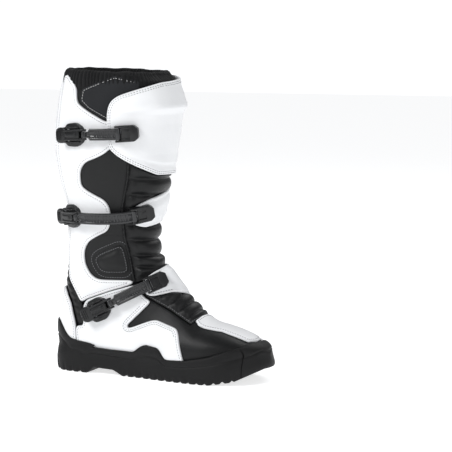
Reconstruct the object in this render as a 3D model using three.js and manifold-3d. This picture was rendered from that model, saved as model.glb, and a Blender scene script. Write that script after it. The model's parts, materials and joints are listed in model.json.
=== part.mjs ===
// Off-road riding boot, right foot: a rubber cup sole, leather and bellows uppers, hard guards,
// and three lever buckles. Millimetres, +Z up, toe towards +X, outer (lateral) side towards -Y.
import * as THREE from 'three';
import { mergeVertices } from 'three/addons/utils/BufferGeometryUtils.js';
import Module from 'manifold-3d';

const wasm = await Module();
wasm.setup();

// ---- driving dimensions ----
const BOOT_HEIGHT = 392;      // floor to collar rim
const BOOT_LENGTH = 296;      // heel of the sole to its toe
const LEG_WIDTH = 118;        // shaft across, over the leather
const FOOT_WIDTH = 94;        // forefoot across, over the leather
const LEATHER = 3;            // upper's wall
const PLATE = 3;              // hard guards' wall
const GUARD = 4;              // shin guard's wall
const LINING = 3;             // padded textile lining
const SOLE_WALL = 6.5;        // rubber round the foot, above the straight wall
const WELT = 28;              // height to which the sole's wall stands straight
const TREAD_DEPTH = 3;        // grooves under the sole
const GAP = 0.4;              // between neighbouring pieces
const LINING_GAP = 0.9;       // lining to leather
const STRAP_WIDTH = 15;
const STRAP_THICK = 3.2;
const LEVER_WIDTH = 14;
const LEVER_LENGTH = 26;      // catch pin to lever pin
const THUMB_LENGTH = 19;      // lever behind the catch pin
const PIN_R = 1.5;
const PIN_GAP = 0.3;
const CHEEK = 2.2;            // buckle side walls
const CHEEK_GAP = 0.9;        // lever to each side wall
const CATCH_HEIGHT = 11;      // catch pin above the skin

// nominal sizes that the shape tables below are drawn at
const NOMINAL = { height: 392, length: 296, leg: 118, foot: 94 };
const sx = BOOT_LENGTH / NOMINAL.length;
const sz = BOOT_HEIGHT / NOMINAL.height;

// ---- the last: sections fanned from the collar round the heel to the toe ----
// front x z, back x z, half width out, half width in, centre y, front power, back power, widest
const SECTIONS = [
  [124, 392, -14, 392, 57, 57, 0, 2.3, 2.4, 0.50],
  [131, 360, -22, 360, 59, 59, 0, 2.3, 2.4, 0.50],
  [131, 322, -28, 322, 59, 59, 0, 2.3, 2.4, 0.50],
  [125, 286, -28, 286, 58, 58, 0, 2.3, 2.4, 0.50],
  [118, 256, -22, 252, 55, 55, 0, 2.3, 2.4, 0.50],
  [112, 228, -13, 221, 50, 50, 0, 2.3, 2.4, 0.50],
  [106, 201, -12, 190, 46, 46, 0, 2.3, 2.4, 0.50],
  [104, 177, -13, 159, 42, 42, 0, 2.2, 2.4, 0.48],
  [107, 157, -16, 128, 40, 40, 0, 2.2, 2.4, 0.46],
  [116, 142, -22, 96, 39, 39, 0, 2.2, 2.4, 0.44],
  [127, 128, -27, 64, 39, 38, 0, 2.2, 2.5, 0.42],
  [139, 114, -21, 34, 39, 37, 0, 2.2, 2.6, 0.42],
  [151, 102, 15, 24, 40, 36, 0, 2.2, 2.8, 0.40],
  [163, 91, 62, 22, 42, 37, 0, 2.2, 3.0, 0.38],
  [175, 80, 106, 19, 45, 41, 0, 2.2, 3.2, 0.36],
  [187, 71, 146, 16, 48, 45, 0, 2.2, 3.4, 0.34],
  [206, 66, 181, 15, 48, 46, 1, 2.2, 3.4, 0.34],
  [225, 60, 210, 17, 43, 44, 2, 2.2, 3.2, 0.36],
  [240, 53, 232, 21, 34, 37, 4, 2.2, 2.8, 0.40],
  [251, 45, 247, 27, 21, 25, 5, 2.1, 2.3, 0.45],
  [257, 36, 257, 36, 0, 0, 6, 2.0, 2.0, 0.50],
].map((row, i, all) => {
  const share = i / (all.length - 1);
  const leg = LEG_WIDTH / NOMINAL.leg;
  const foot = FOOT_WIDTH / NOMINAL.foot;
  const wide = leg + (foot - leg) * share;
  const scale = [sx, sz, sx, sz, wide, wide, wide, 1, 1, 1];
  return row.map((value, k) => value * scale[k]);
});
const LAST = SECTIONS.length - 1;

// Catmull-Rom through the sections
function sectionAt(u) {
  const t0 = Math.min(Math.max(u, 0), LAST - 1e-9);
  const i = Math.floor(t0);
  const t = t0 - i;
  const row = k => SECTIONS[Math.min(Math.max(i + k, 0), LAST)];
  return row(0).map((p1, k) => {
    const [p0, p2, p3] = [row(-1)[k], row(1)[k], row(2)[k]];
    const cubic = 3 * p1 - p0 - 3 * p2 + p3;
    return 0.5 * (2 * p1 + (p2 - p0) * t + (2 * p0 - 5 * p1 + 4 * p2 - p3) * t * t + cubic * t * t * t);
  });
}

// a point on the skin: angle 0 is the front, 90 the outer side, 180 the back
function skinPoint(u, degrees) {
  const [fx, fz, bx, bz, wOut, wIn, yc, nf, nb, wide] = sectionAt(u);
  const [c, s] = [Math.cos(degrees * Math.PI / 180), Math.sin(degrees * Math.PI / 180)];
  const n = nb + (nf - nb) * (1 + c) / 2;
  const k = (Math.abs(c) ** n + Math.abs(s) ** n) ** (-1 / n);
  const [e, q] = [c * k, s * k];
  const [cx, cz] = [bx + (fx - bx) * wide, bz + (fz - bz) * wide];
  const x = e > 0 ? cx + (fx - cx) * e : cx + (cx - bx) * e;
  const z = e > 0 ? cz + (fz - cz) * e : cz + (cz - bz) * e;
  return new THREE.Vector3(x, yc - (q > 0 ? wOut : wIn) * q, z);
}

function skinNormal(u, degrees) {
  const step = 0.02;
  const along = skinPoint(Math.min(u + step, LAST), degrees).sub(skinPoint(Math.max(u - step, 0), degrees));
  const round = skinPoint(u, degrees + 1).sub(skinPoint(u, degrees - 1));
  return along.cross(round).normalize().negate();
}

// ---- solids ----
function solidOf(geometry) {
  const bare = geometry.clone();
  bare.deleteAttribute('normal');
  bare.deleteAttribute('uv');
  const merged = mergeVertices(bare, 1e-4);
  const mesh = new wasm.Mesh({
    numProp: 3,
    vertProperties: new Float32Array(merged.attributes.position.array),
    triVerts: new Uint32Array(merged.index.array),
  });
  return new wasm.Manifold(mesh);
}

// rings of points joined into a closed solid, with a fan over each end
function loft(rings) {
  const n = rings[0].length;
  const points = rings.flat();
  const index = [];
  const last = (rings.length - 1) * n;
  rings.slice(1).forEach((_, r) => {
    for (let j = 0; j < n; j++) {
      const [a, b] = [r * n + j, r * n + (j + 1) % n];
      index.push(a, a + n, b, b, a + n, b + n);
    }
  });
  const middle = ring => ring.reduce((sum, p) => sum.add(p), new THREE.Vector3()).divideScalar(n);
  points.push(middle(rings[0]), middle(rings.at(-1)));
  for (let j = 0; j < n; j++) {
    index.push(points.length - 2, j, (j + 1) % n);
    index.push(points.length - 1, last + (j + 1) % n, last + j);
  }
  const geometry = new THREE.BufferGeometry();
  geometry.setAttribute('position', new THREE.Float32BufferAttribute(points.flatMap(p => p.toArray()), 3));
  geometry.setIndex(index);
  const solid = solidOf(geometry);
  if (solid.volume() > 0) return solid;
  geometry.setIndex(index.map((_, k) => index[k - k % 3 + 2 - k % 3]));
  return solidOf(geometry);
}

const AROUND = [0, 20, 40, 59, 78, 98, 121, 149, 180]
  .flatMap((deg, i, all) => i === 0 || i === all.length - 1 ? [deg] : [deg, -deg]).sort((p, q) => p - q);
const ALONG = [0, 1.4, 2.4, 3.4, 4.5, 5.6, 6.8, 8, 9, 9.9, 10.6, 11.2, 12, 13.2, 14.6, 16, 17.3, 18.4,
  19.2, 19.8];

// the whole skin moved out by a height, which may change from place to place
const skins = new Map();
function skin(height) {
  if (skins.has(height)) return skins.get(height);
  const heightAt = typeof height === 'function' ? height : () => height;
  const end = heightAt(LAST, 0) < -3.5 ? 19 : 20;
  const rings = ALONG.filter(u => u < end).map(u => AROUND.map(deg =>
    skinPoint(u, deg).addScaledVector(skinNormal(u, deg), heightAt(u, deg))));
  const rim = rings[0].map(p => p.clone().setZ(p.z + 30));
  const solid = loft([rim, ...rings]);
  skins.set(height, solid);
  return solid;
}

// an outline in the side view, with its corners rounded
function roundedShape(points, radius) {
  const shape = new THREE.Shape();
  const corner = points.map(([x, z]) => new THREE.Vector2(x * sx, z * sz));
  corner.forEach((p, i) => {
    const before = corner.at(i - 1);
    const after = corner[(i + 1) % corner.length];
    const cut = Math.min(radius, p.distanceTo(before) * 0.45, p.distanceTo(after) * 0.45);
    const start = p.clone().lerp(before, cut / p.distanceTo(before));
    const end = p.clone().lerp(after, cut / p.distanceTo(after));
    if (i === 0) shape.moveTo(start.x, start.y);
    else shape.lineTo(start.x, start.y);
    shape.quadraticCurveTo(p.x, p.y, end.x, end.y);
  });
  shape.closePath();
  return shape;
}

const REACH = 130;            // cutters reach this far sideways
function sideCutter(points, side, radius = 3, inner = 0) {
  const options = { depth: REACH, bevelEnabled: false, curveSegments: radius > 1 ? 2 : 1 };
  const block = new THREE.ExtrudeGeometry(roundedShape(points, radius), options);
  block.rotateX(Math.PI / 2);
  block.translate(0, side > 0 ? REACH + inner : -inner, 0);
  return solidOf(block);
}
const outer = (points, radius, inner) => sideCutter(points, -1, radius, inner);
const inward = (points, radius, inner) => sideCutter(points, 1, radius, inner);
const both = (points, radius) => outer(points, radius, -0.01).add(inward(points, radius));
const around = (out, inn, radius) => outer(out, radius, -0.01).add(inward(inn, radius));

const shell = (low, high) => skin(high).subtract(skin(low));
const biggest = solid => solid.decompose().sort((p, q) => q.volume() - p.volume())[0];

// moves every side of an outline out by a gap
function grow(points, gap) {
  const centreOut = Math.sign(THREE.ShapeUtils.area(points.map(([x, z]) => new THREE.Vector2(x, z))));
  const side = (p, q) => {
    const length = Math.hypot(q[0] - p[0], q[1] - p[1]);
    return [(q[1] - p[1]) / length * centreOut, -(q[0] - p[0]) / length * centreOut];
  };
  return points.map((p, i) => {
    const a = side(points.at(i - 1), p);
    const b = side(p, points[(i + 1) % points.length]);
    const k = gap / Math.max(0.3, 1 + a[0] * b[0] + a[1] * b[1]);
    return [p[0] + (a[0] + b[0]) * k, p[1] + (a[1] + b[1]) * k];
  });
}

// ---- the part ----
const boot = new THREE.Group();
const finishes = {
  whitePlastic: { color: 0xe9eaec, roughness: 0.38, metalness: 0 },
  blackLeather: { color: 0x1d1e20, roughness: 0.55, metalness: 0 },
  knit: { color: 0x151617, roughness: 0.9, metalness: 0 },
  charcoal: { color: 0x2e3033, roughness: 0.7, metalness: 0 },
  rubber: { color: 0x121315, roughness: 0.65, metalness: 0 },
  buckle: { color: 0x26282b, roughness: 0.35, metalness: 0 },
  steel: { color: 0xb9bcc0, roughness: 0.25, metalness: 1 },
  board: { color: 0x8a7a60, roughness: 0.8, metalness: 0 },
};
for (const [name, values] of Object.entries(finishes)) {
  finishes[name] = new THREE.MeshStandardMaterial(values);
}

function add(name, solid, finish) {
  const mesh = biggest(solid).getMesh();
  const geometry = new THREE.BufferGeometry();
  geometry.setAttribute('position', new THREE.Float32BufferAttribute(mesh.vertProperties, 3));
  geometry.setIndex([...mesh.triVerts]);
  const piece = new THREE.Mesh(geometry, finishes[finish]);
  piece.name = name;
  boot.add(piece);
}

// ---- outlines in the side view, [x, z], at the nominal sizes ----
const FAR = 60;               // well behind or above the boot
const heelSlotOut = [[-FAR, 168], [-8, 168], [-5, 122], [5, 110], [17, 91], [19, 64], [10, 65], [1, 92],
  [-12, 111], [-FAR, 114]];
const heelSlotIn = [[-FAR, 168], [-10, 168], [-9, 150], [6, 112], [20, 90], [22, 64], [12, 65], [2, 90],
  [-12, 111], [-FAR, 114]];
const shinSeamOut = [[91, 283], [88, 257], [79, 220], [78, 181], [84, 150], [90, 121]];
const shinSeamIn = [[90, 283], [88, 262], [75, 228], [60, 193], [68, 165], [86, 140], [96, 136]];
const SHIN_TOP = 296;
const bellowsOut = [[84, SHIN_TOP], ...shinSeamOut, [100, 124], [160, 160], [190, SHIN_TOP]];
const bellowsIn = [[84, SHIN_TOP], ...shinSeamIn, [160, 160], [190, SHIN_TOP]];
const instepOut = [[99, 122], [104, 105], [118, 98], [139, 88], [168, 72], [172, 82], [172, 120], [130, 155]];
const instepIn = [[97, 135], [140, 96], [152, 84], [168, 72], [172, 82], [172, 120], [130, 155]];
const COLLAR_LOW = 368;
const MID_SPLIT = 184;        // where the shaft's firm part ends above the ankle

// ---- leather and textile ----
const leather = shell(-LEATHER, 0);
const collarBand = both([[-FAR, COLLAR_LOW], [200, COLLAR_LOW], [200, 392], [-FAR, 392]], 0.1);
add('collar', leather.intersect(collarBand), 'knit');

const legZone = [[-FAR, MID_SPLIT], [200, MID_SPLIT], [200, COLLAR_LOW - GAP], [-FAR, COLLAR_LOW - GAP]];
const bellowsHole = around(grow(bellowsOut, GAP), grow(bellowsIn, GAP), 0.1);
const shinPadTop = [[84, SHIN_TOP + GAP], [200, SHIN_TOP + GAP], [200, COLLAR_LOW - GAP],
  [84, COLLAR_LOW - GAP]];
add('lateral_shaft_leather', leather.intersect(outer(legZone, 0.1, GAP / 2))
  .subtract(bellowsHole).subtract(both(grow(shinPadTop, GAP), 0.1)), 'blackLeather');
add('medial_calf_panel', leather.intersect(inward(legZone, 0.1, GAP / 2))
  .subtract(bellowsHole).subtract(both(grow(shinPadTop, GAP), 0.1)), 'blackLeather');
add('shin_pad', leather.intersect(both(shinPadTop, 0.1)), 'blackLeather');
const instepHole = around(grow(instepOut, GAP), grow(instepIn, GAP), 1);
add('shin_bellows', leather.intersect(around(bellowsOut, bellowsIn, 0.1)).subtract(instepHole),
  'blackLeather');

const heelSlotHole = around(grow(heelSlotOut, GAP), grow(heelSlotIn, GAP), 1);
const ankleTop = MID_SPLIT - GAP;
const ankleOut = [[-FAR, ankleTop], [120, ankleTop], [120, 121], [90, 121], [58, 109], [23, 95], [18, 86],
  [-FAR, 86]];
const ankleIn = [[-FAR, ankleTop], [120, ankleTop], [120, 130], [86, 130], [20, 150], [16, 130],
  [-FAR, 130]];
const vampOut = [[-FAR, 113], [-20, 113], [17, 88], [23, 94.5], [58, 108.5], [90, 120.5], [99, 125],
  [130, 155],
  [300, 120], [300, -10], [-FAR, -10]];
const vampIn = [[-FAR, 113], [-20, 113], [4, 113], [14, 125], [20, 149], [86, 129.5], [97, 139], [130, 155],
  [300, 120], [300, -10], [-FAR, -10]];
const vampHole = around(grow(vampOut, GAP), grow(vampIn, GAP), 0.1);
const ankleHoles = bellowsHole.add(heelSlotHole).add(instepHole).add(vampHole);
add('lateral_ankle_leather', leather.intersect(outer(ankleOut, 0.1, GAP / 2)).subtract(ankleHoles),
  'blackLeather');
add('medial_ankle_leather', leather.intersect(inward(ankleIn, 0.1, GAP / 2)).subtract(ankleHoles),
  'blackLeather');
add('heel_bellows', leather.intersect(around(heelSlotOut, heelSlotIn, 1)), 'blackLeather');
add('instep_bellows', leather.intersect(around(instepOut, instepIn, 1)), 'blackLeather');

add('vamp', leather.intersect(around(vampOut, vampIn, 0.1)).subtract(heelSlotHole)
  .subtract(instepHole).subtract(bellowsHole), 'blackLeather');

const liningHigh = -LEATHER - LINING_GAP;
const lining = shell(liningHigh - LINING, liningHigh);
const FOOT_LINING_TOP = 117;
const floorLine = [[-FAR, 31], [20, 31], [70, 29], [120, 26], [160, 23], [200, 23], [300, 30]];
const liningFloor = both([...floorLine, [300, -20], [-FAR, -20]], 0.1);
add('leg_lining', lining.intersect(both([[-FAR, MID_SPLIT], [200, MID_SPLIT], [200, 366], [-FAR, 366]], 0.1)),
  'charcoal');
add('ankle_lining', lining.intersect(both([[-FAR, FOOT_LINING_TOP + GAP], [88, FOOT_LINING_TOP + GAP],
  [150, 155], [150, ankleTop], [-FAR, ankleTop]], 0.1)), 'charcoal');
add('foot_lining', lining.intersect(both([[-FAR, FOOT_LINING_TOP], [88, FOOT_LINING_TOP], [150, 154.5],
  [235, 154.5], [235, -20], [-FAR, -20]], 0.1)).subtract(liningFloor), 'charcoal');

const BOARD = 1.8;
const boardHigh = -LEATHER - GAP;
const boardZone = both([[-13, 36], [20, 30], [70, 28], [120, 25], [160, 22], [200, 21], [226, 26], [226, -5],
  [-13, -5]], 0.1);
add('lasting_board', shell(boardHigh - BOARD, boardHigh).intersect(boardZone).intersect(liningFloor),
  'board');
const bedZone = both([[-FAR, 31 - GAP], [20, 31 - GAP], [70, 29 - GAP], [120, 26 - GAP], [160, 23 - GAP],
  [200, 23 - GAP], [300, 30 - GAP], [300, -20], [-FAR, -20]], 0.1);
add('footbed', skin(boardHigh - BOARD - GAP).intersect(bedZone), 'charcoal');

// ---- sole ----
const plan = [[-31, 0], [-29, -19], [-20, -31], [0, -38], [45, -40], [90, -43], [130, -49], [170, -54],
  [205, -53],
  [235, -42], [256, -20], [265, 5], [260, 28], [240, 45], [205, 54], [170, 51], [120, 44], [60, 40], [0, 38],
  [-20, 31], [-29, 19]];
const soleShape = new THREE.Shape();
const soleWide = FOOT_WIDTH / NOMINAL.foot;
soleShape.setFromPoints(plan.map(([x, y]) => new THREE.Vector2(x * sx, y * soleWide)));
const straightWall = height =>
  solidOf(new THREE.ExtrudeGeometry(soleShape, { depth: height * sz, bevelEnabled: false }));
const soleBlock = straightWall(75).intersect(straightWall(WELT).add(skin(SOLE_WALL)));
const soleOut = [[-FAR, 67], [-24, 67], [-18, 58], [-11, 45], [14, 36], [58, 34], [94, 34], [104, 42],
  [111, 45],
  [130, 42], [140, 28], [167, 29], [202, 36], [240, 47], [262, 52], [300, 50], [300, 30], [262, 14], [236, 3],
  [205, 0], [78, 0], [62, 7], [34, 8], [24, 0], [-22, 0], [-FAR, 6]];
const soleIn = [[-FAR, 67], [-24, 67], [-18, 56], [-8, 45], [30, 42], [83, 40], [136, 26], [177, 21],
  [210, 25],
  [234, 35], [241, 43], [262, 50], [300, 50], [300, 30], [262, 14], [236, 3], [205, 0], [78, 0], [62, 7],
  [34, 8], [24, 0], [-22, 0], [-FAR, 6]];
const grooves = [];
const PITCH = 11.5;
for (let x = -18; x < 226; x += PITCH) {
  if (x > 20 && x < 78) continue;
  const groove = new THREE.BoxGeometry(3.2, 200, TREAD_DEPTH * 2);
  groove.translate((x + PITCH / 2) * sx, 0, x > 205 ? TREAD_DEPTH : 0);
  grooves.push(solidOf(groove));
}
const SHANK = 1.4;
const shankZone = gap => {
  const block = new THREE.BoxGeometry(118 * sx + 2 * gap, 16 + 2 * gap, 60);
  block.translate(82 * sx, 0, 30);
  return solidOf(block);
};
let sole = soleBlock.intersect(around(soleOut, soleIn, 2)).subtract(skin(GAP));
sole = sole.subtract(skin(GAP * 3 + SHANK).intersect(shankZone(GAP)));
for (const groove of grooves) sole = sole.subtract(groove);
const CAP_SEAM = 240;
const capZone = shift => both([[CAP_SEAM + shift, -20], [300, -20], [300, 120], [CAP_SEAM + shift, 120]],
  0.1);
add('outsole', sole.subtract(capZone(0)), 'rubber');
add('toe_cap', sole.intersect(capZone(GAP)), 'rubber');
add('shank', shell(GAP * 2, GAP * 2 + SHANK).intersect(shankZone(0))
  .intersect(both([[-FAR, 40], [300, 30], [300, -5], [-FAR, -5]], 0.1)), 'steel');

// ---- hard guards ----
const plate = shell(GAP, GAP + PLATE);
const plateTop = GAP + PLATE;
const soleHole = soleBlock.intersect(around(grow(soleOut, GAP), grow(soleIn, GAP), 2));
const seamBack = [[-4, 386], [-10, 350], [-14, 310], [-13, 280], [-8, 250], [-3, 222], [0, MID_SPLIT]];
const frameUpper = [...seamBack, [44, MID_SPLIT], [58, 188], [62, 197], [64, 210], [62, 221], [56, 229],
  [38, 237], [24, 245], [24, 266], [33, 277], [48, 282], [62, 289], [68, 295], [84, 300], [84, 330], [64,
  328], [37, 342],
  [21, 352], [20, 372], [4, 387]];
add('lateral_shaft_frame', plate.intersect(outer(frameUpper, 3, 0)), 'whitePlastic');
const frameLower = [[-10, MID_SPLIT - GAP], [43, MID_SPLIT - GAP], [29, 173], [22, 160], [23, 144], [31, 130],
  [42, 124], [88, 125], [89, 120], [58, 110], [23, 97], [17, 92], [5, 111], [-4, 123], [-7, 150], [-7, 168]];
add('lateral_ankle_frame', plate.intersect(outer(frameLower, 3, 0)), 'whitePlastic');
const calfOut = [[-FAR, 388], [-4 - GAP, 388], ...seamBack.slice(1).map(([x, z]) => [x - GAP * 1.5, z]),
  [-12, MID_SPLIT], [-14, 176], [-FAR, 172]];
const calfIn = [[-FAR, 388], [-3, 386], [-3, 350], [-5, 320], [-10, 272], [-8, 232], [4, 192], [0, 176],
  [-FAR, 172]];
add('calf_plate', plate.intersect(around(calfOut, calfIn, 2)), 'whitePlastic');
add('collar_flap', shell(GAP, GAP + 2).intersect(outer([[26, 354], [29, 370], [50, 378], [74, 387], [104,
  380],
  [104, 352], [85, 352], [85, 331], [66, 329.5], [38, 343.5]], 2)), 'charcoal');
add('medial_mesh_panel', shell(GAP, GAP + 1.2).intersect(inward([[22, 359], [77, 359], [75, 262], [48, 202],
  [18, 262]], 5)), 'charcoal');
add('ankle_pad', plate.intersect(outer([[75, 172], [41, 157], [36, 150], [42, 137], [50, 132], [83, 133],
  [80, 152]], 5)), 'blackLeather');

add('heel_counter', plate.intersect(around([[-FAR, 110], [-12, 107], [0, 90], [8, 64], [8, 20], [-FAR, 20]],
  [[-FAR, 110], [-12, 107], [1, 88], [10, 63], [10, 20], [-FAR, 20]], 2)).subtract(soleHole), 'whitePlastic');
const outGuard = [[8 + GAP, 20], [8 + GAP, 62], [20, 62], [20, 88], [24, 96.3], [58, 109.3], [90, 119],
  [103, 104],
  [113, 98], [98, 82], [83, 67], [85, 63], [116, 75], [124, 76], [152, 67], [156, 61], [168, 20]];
add('lateral_foot_guard', plate.intersect(outer(outGuard, 3, 0)).subtract(soleHole), 'whitePlastic');
const inGuard = [[10 + GAP, 20], [10 + GAP, 62], [24, 62], [22, 92], [8, 113], [-7, 150], [-4, 160], [12,
  165],
  [86, 139], [94, 133], [140, 90], [153, 70], [162, 64], [176, 70], [195, 62], [215, 58], [242, 46],
  [250, 20]];
add('medial_foot_guard', plate.intersect(inward(inGuard, 3, 6)).subtract(soleHole), 'whitePlastic');
const patchOut = [[172, 120], [170, 78], [174, 71], [184, 67], [215, 62], [236, 56], [244, 53], [248, 90]];
const patchIn = [[172, 120], [171, 80], [178, 75], [196, 68], [215, 64], [242, 53], [248, 90]];
add('toe_patch', plate.intersect(around(patchOut, patchIn, 3)).subtract(soleHole), 'whitePlastic');

// the two instep and shin wings that the straps pull across
const WING_SEAM = 1.2;
const lowWingOut = [[99, 124], [113, 136], [121, 141], [150, 160], [175, 125], [152, 104], [143, 111],
  [124, 107],
  [113, 104.5], [105, 107]];
const lowWingIn = [[121, 141], [112, 142], [98 + WING_SEAM, 136 + WING_SEAM], [141 + WING_SEAM,
  92 + WING_SEAM],
  [152, 92], [175, 125], [150, 160]];
add('lower_wing', plate.intersect(around(lowWingOut, lowWingIn, 3)), 'whitePlastic');
const midWingOut = [[150, 237], [117, 236], [105, 229], [93, 221], [88, 212], [89, 197], [102, 192],
  [113, 195],
  [150, 195]];
const midWingIn = [[150, 237], [117, 238], [88, 250], [68, 207], [113, 195], [150, 195]];
add('mid_wing', plate.intersect(around(midWingOut, midWingIn, 3)), 'whitePlastic');

// the shin guard stands off the leg and folds outwards in a ridge below the knee
const ridge = [[256, 0], [336, 0], [347, 4], [358, 1], [392, 0]];
function ridgeAt(z) {
  const next = ridge.findIndex(([level]) => level > z / sz);
  if (next < 1) return 0;
  const [[z0, h0], [z1, h1]] = [ridge[next - 1], ridge[next]];
  return h0 + (h1 - h0) * (z / sz - z0) / (z1 - z0);
}
const guardBase = plateTop + GAP;
const swell = (u, deg) => ridgeAt(skinPoint(u, deg).z) * THREE.MathUtils.clamp((78 - Math.abs(deg)) / 46,
  0, 1);
const guardInner = (u, deg) => guardBase + swell(u, deg);
const guardOuter = (u, deg) => guardBase + GUARD + swell(u, deg);
const guardOut = [[200, 376], [134, 375], [112, 372], [80, 362], [70, 354], [66, 340], [67, 297], [75, 288],
  [90, 278], [109, 267], [119, 258], [200, 252]];
const guardIn = [[200, 376], [134, 377], [103, 386], [93, 382], [86, 366], [84, 331], [83, 289], [89, 275],
  [119, 257], [200, 252]];
const guard = skin(guardOuter).subtract(skin(guardInner)).intersect(around(guardOut, guardIn, 4));
add('shin_guard', guard, 'whitePlastic');

// ---- buckles ----
// finds the place on the outer side that shows at x, z
function findOnSkin(x, z) {
  let best = { gap: Infinity };
  for (let u = 0; u <= 13; u += 0.05) {
    for (let deg = 10; deg <= 160; deg += 1) {
      const p = skinPoint(u, deg);
      const gap = Math.hypot(p.x - x * sx, p.z - z * sz);
      if (gap < best.gap) best = { gap, u, deg };
    }
  }
  return best;
}

// a box in a buckle's own frame: along the strap, across it, up from the skin
function block(frame, along, across, up) {
  const box = new THREE.BoxGeometry(along[1] - along[0], across[1] - across[0], up[1] - up[0]);
  box.translate((along[0] + along[1]) / 2, (across[0] + across[1]) / 2, (up[0] + up[1]) / 2);
  return solidOf(box.applyMatrix4(frame));
}

// an outline drawn along and up, made as wide as across says
function profile(frame, points, across) {
  const shape = new THREE.Shape(points.map(([s, h]) => new THREE.Vector2(s, h)));
  const body = new THREE.ExtrudeGeometry(shape, { depth: across[1] - across[0], bevelEnabled: false });
  body.rotateX(Math.PI / 2);
  body.translate(0, across[1], 0);
  return solidOf(body.applyMatrix4(frame));
}

function pin(frame, s, h, radius, half, sides = 8) {
  const rod = new THREE.CylinderGeometry(radius, radius, 2 * half, sides);
  rod.translate(s, 0, h);
  return solidOf(rod.applyMatrix4(frame));
}

// outline drawn along and across, raised between two heights
function slab(frame, points, up) {
  const shape = new THREE.Shape(points.map(([s, w]) => new THREE.Vector2(s, w)));
  const body = new THREE.ExtrudeGeometry(shape, { depth: up[1] - up[0], bevelEnabled: false });
  body.translate(0, 0, up[0]);
  return solidOf(body.applyMatrix4(frame));
}

function frameAt(place, towards) {
  const normal = skinNormal(place.u, place.deg);
  const origin = skinPoint(place.u, place.deg);
  const along = towards.clone().sub(origin);
  along.addScaledVector(normal, -along.dot(normal)).normalize();
  const across = normal.clone().cross(along);
  return new THREE.Matrix4().makeBasis(along, across, normal).setPosition(origin);
}

const BUCKLES = [
  { name: 'upper', base: [16, 311], clasp: [82, 315], under: guardOuter },
  { name: 'mid', base: [6, 206], clasp: [90, 210], under: plateTop },
  { name: 'lower', base: [40, 84], clasp: [107, 118], under: plateTop },
];
const half = LEVER_WIDTH / 2;
const cheekIn = half + CHEEK_GAP;
const cheekOut = cheekIn + CHEEK;
const EYE_R = 3.6;
const CLASP_LENGTH = 24;
const CLASP_RISE = 7.5;
const SADDLE = 2.4;            // base plate's thickness over the guard
const SADDLE_LIP = 1.5;        // base plate past each side wall
const PIN_WALL = 3.2;          // side wall over the catch pin
const CLASP_WALL = 2.6;        // ears of the clasp
const POCKET = 1.6;            // recess round the clasp's screw
const SCREW_HEAD = 1.2;
const EYE_WIDE = 4;            // half the strap's rear eye
const NOTCH = PIN_R + PIN_GAP * 2.5;

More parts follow.
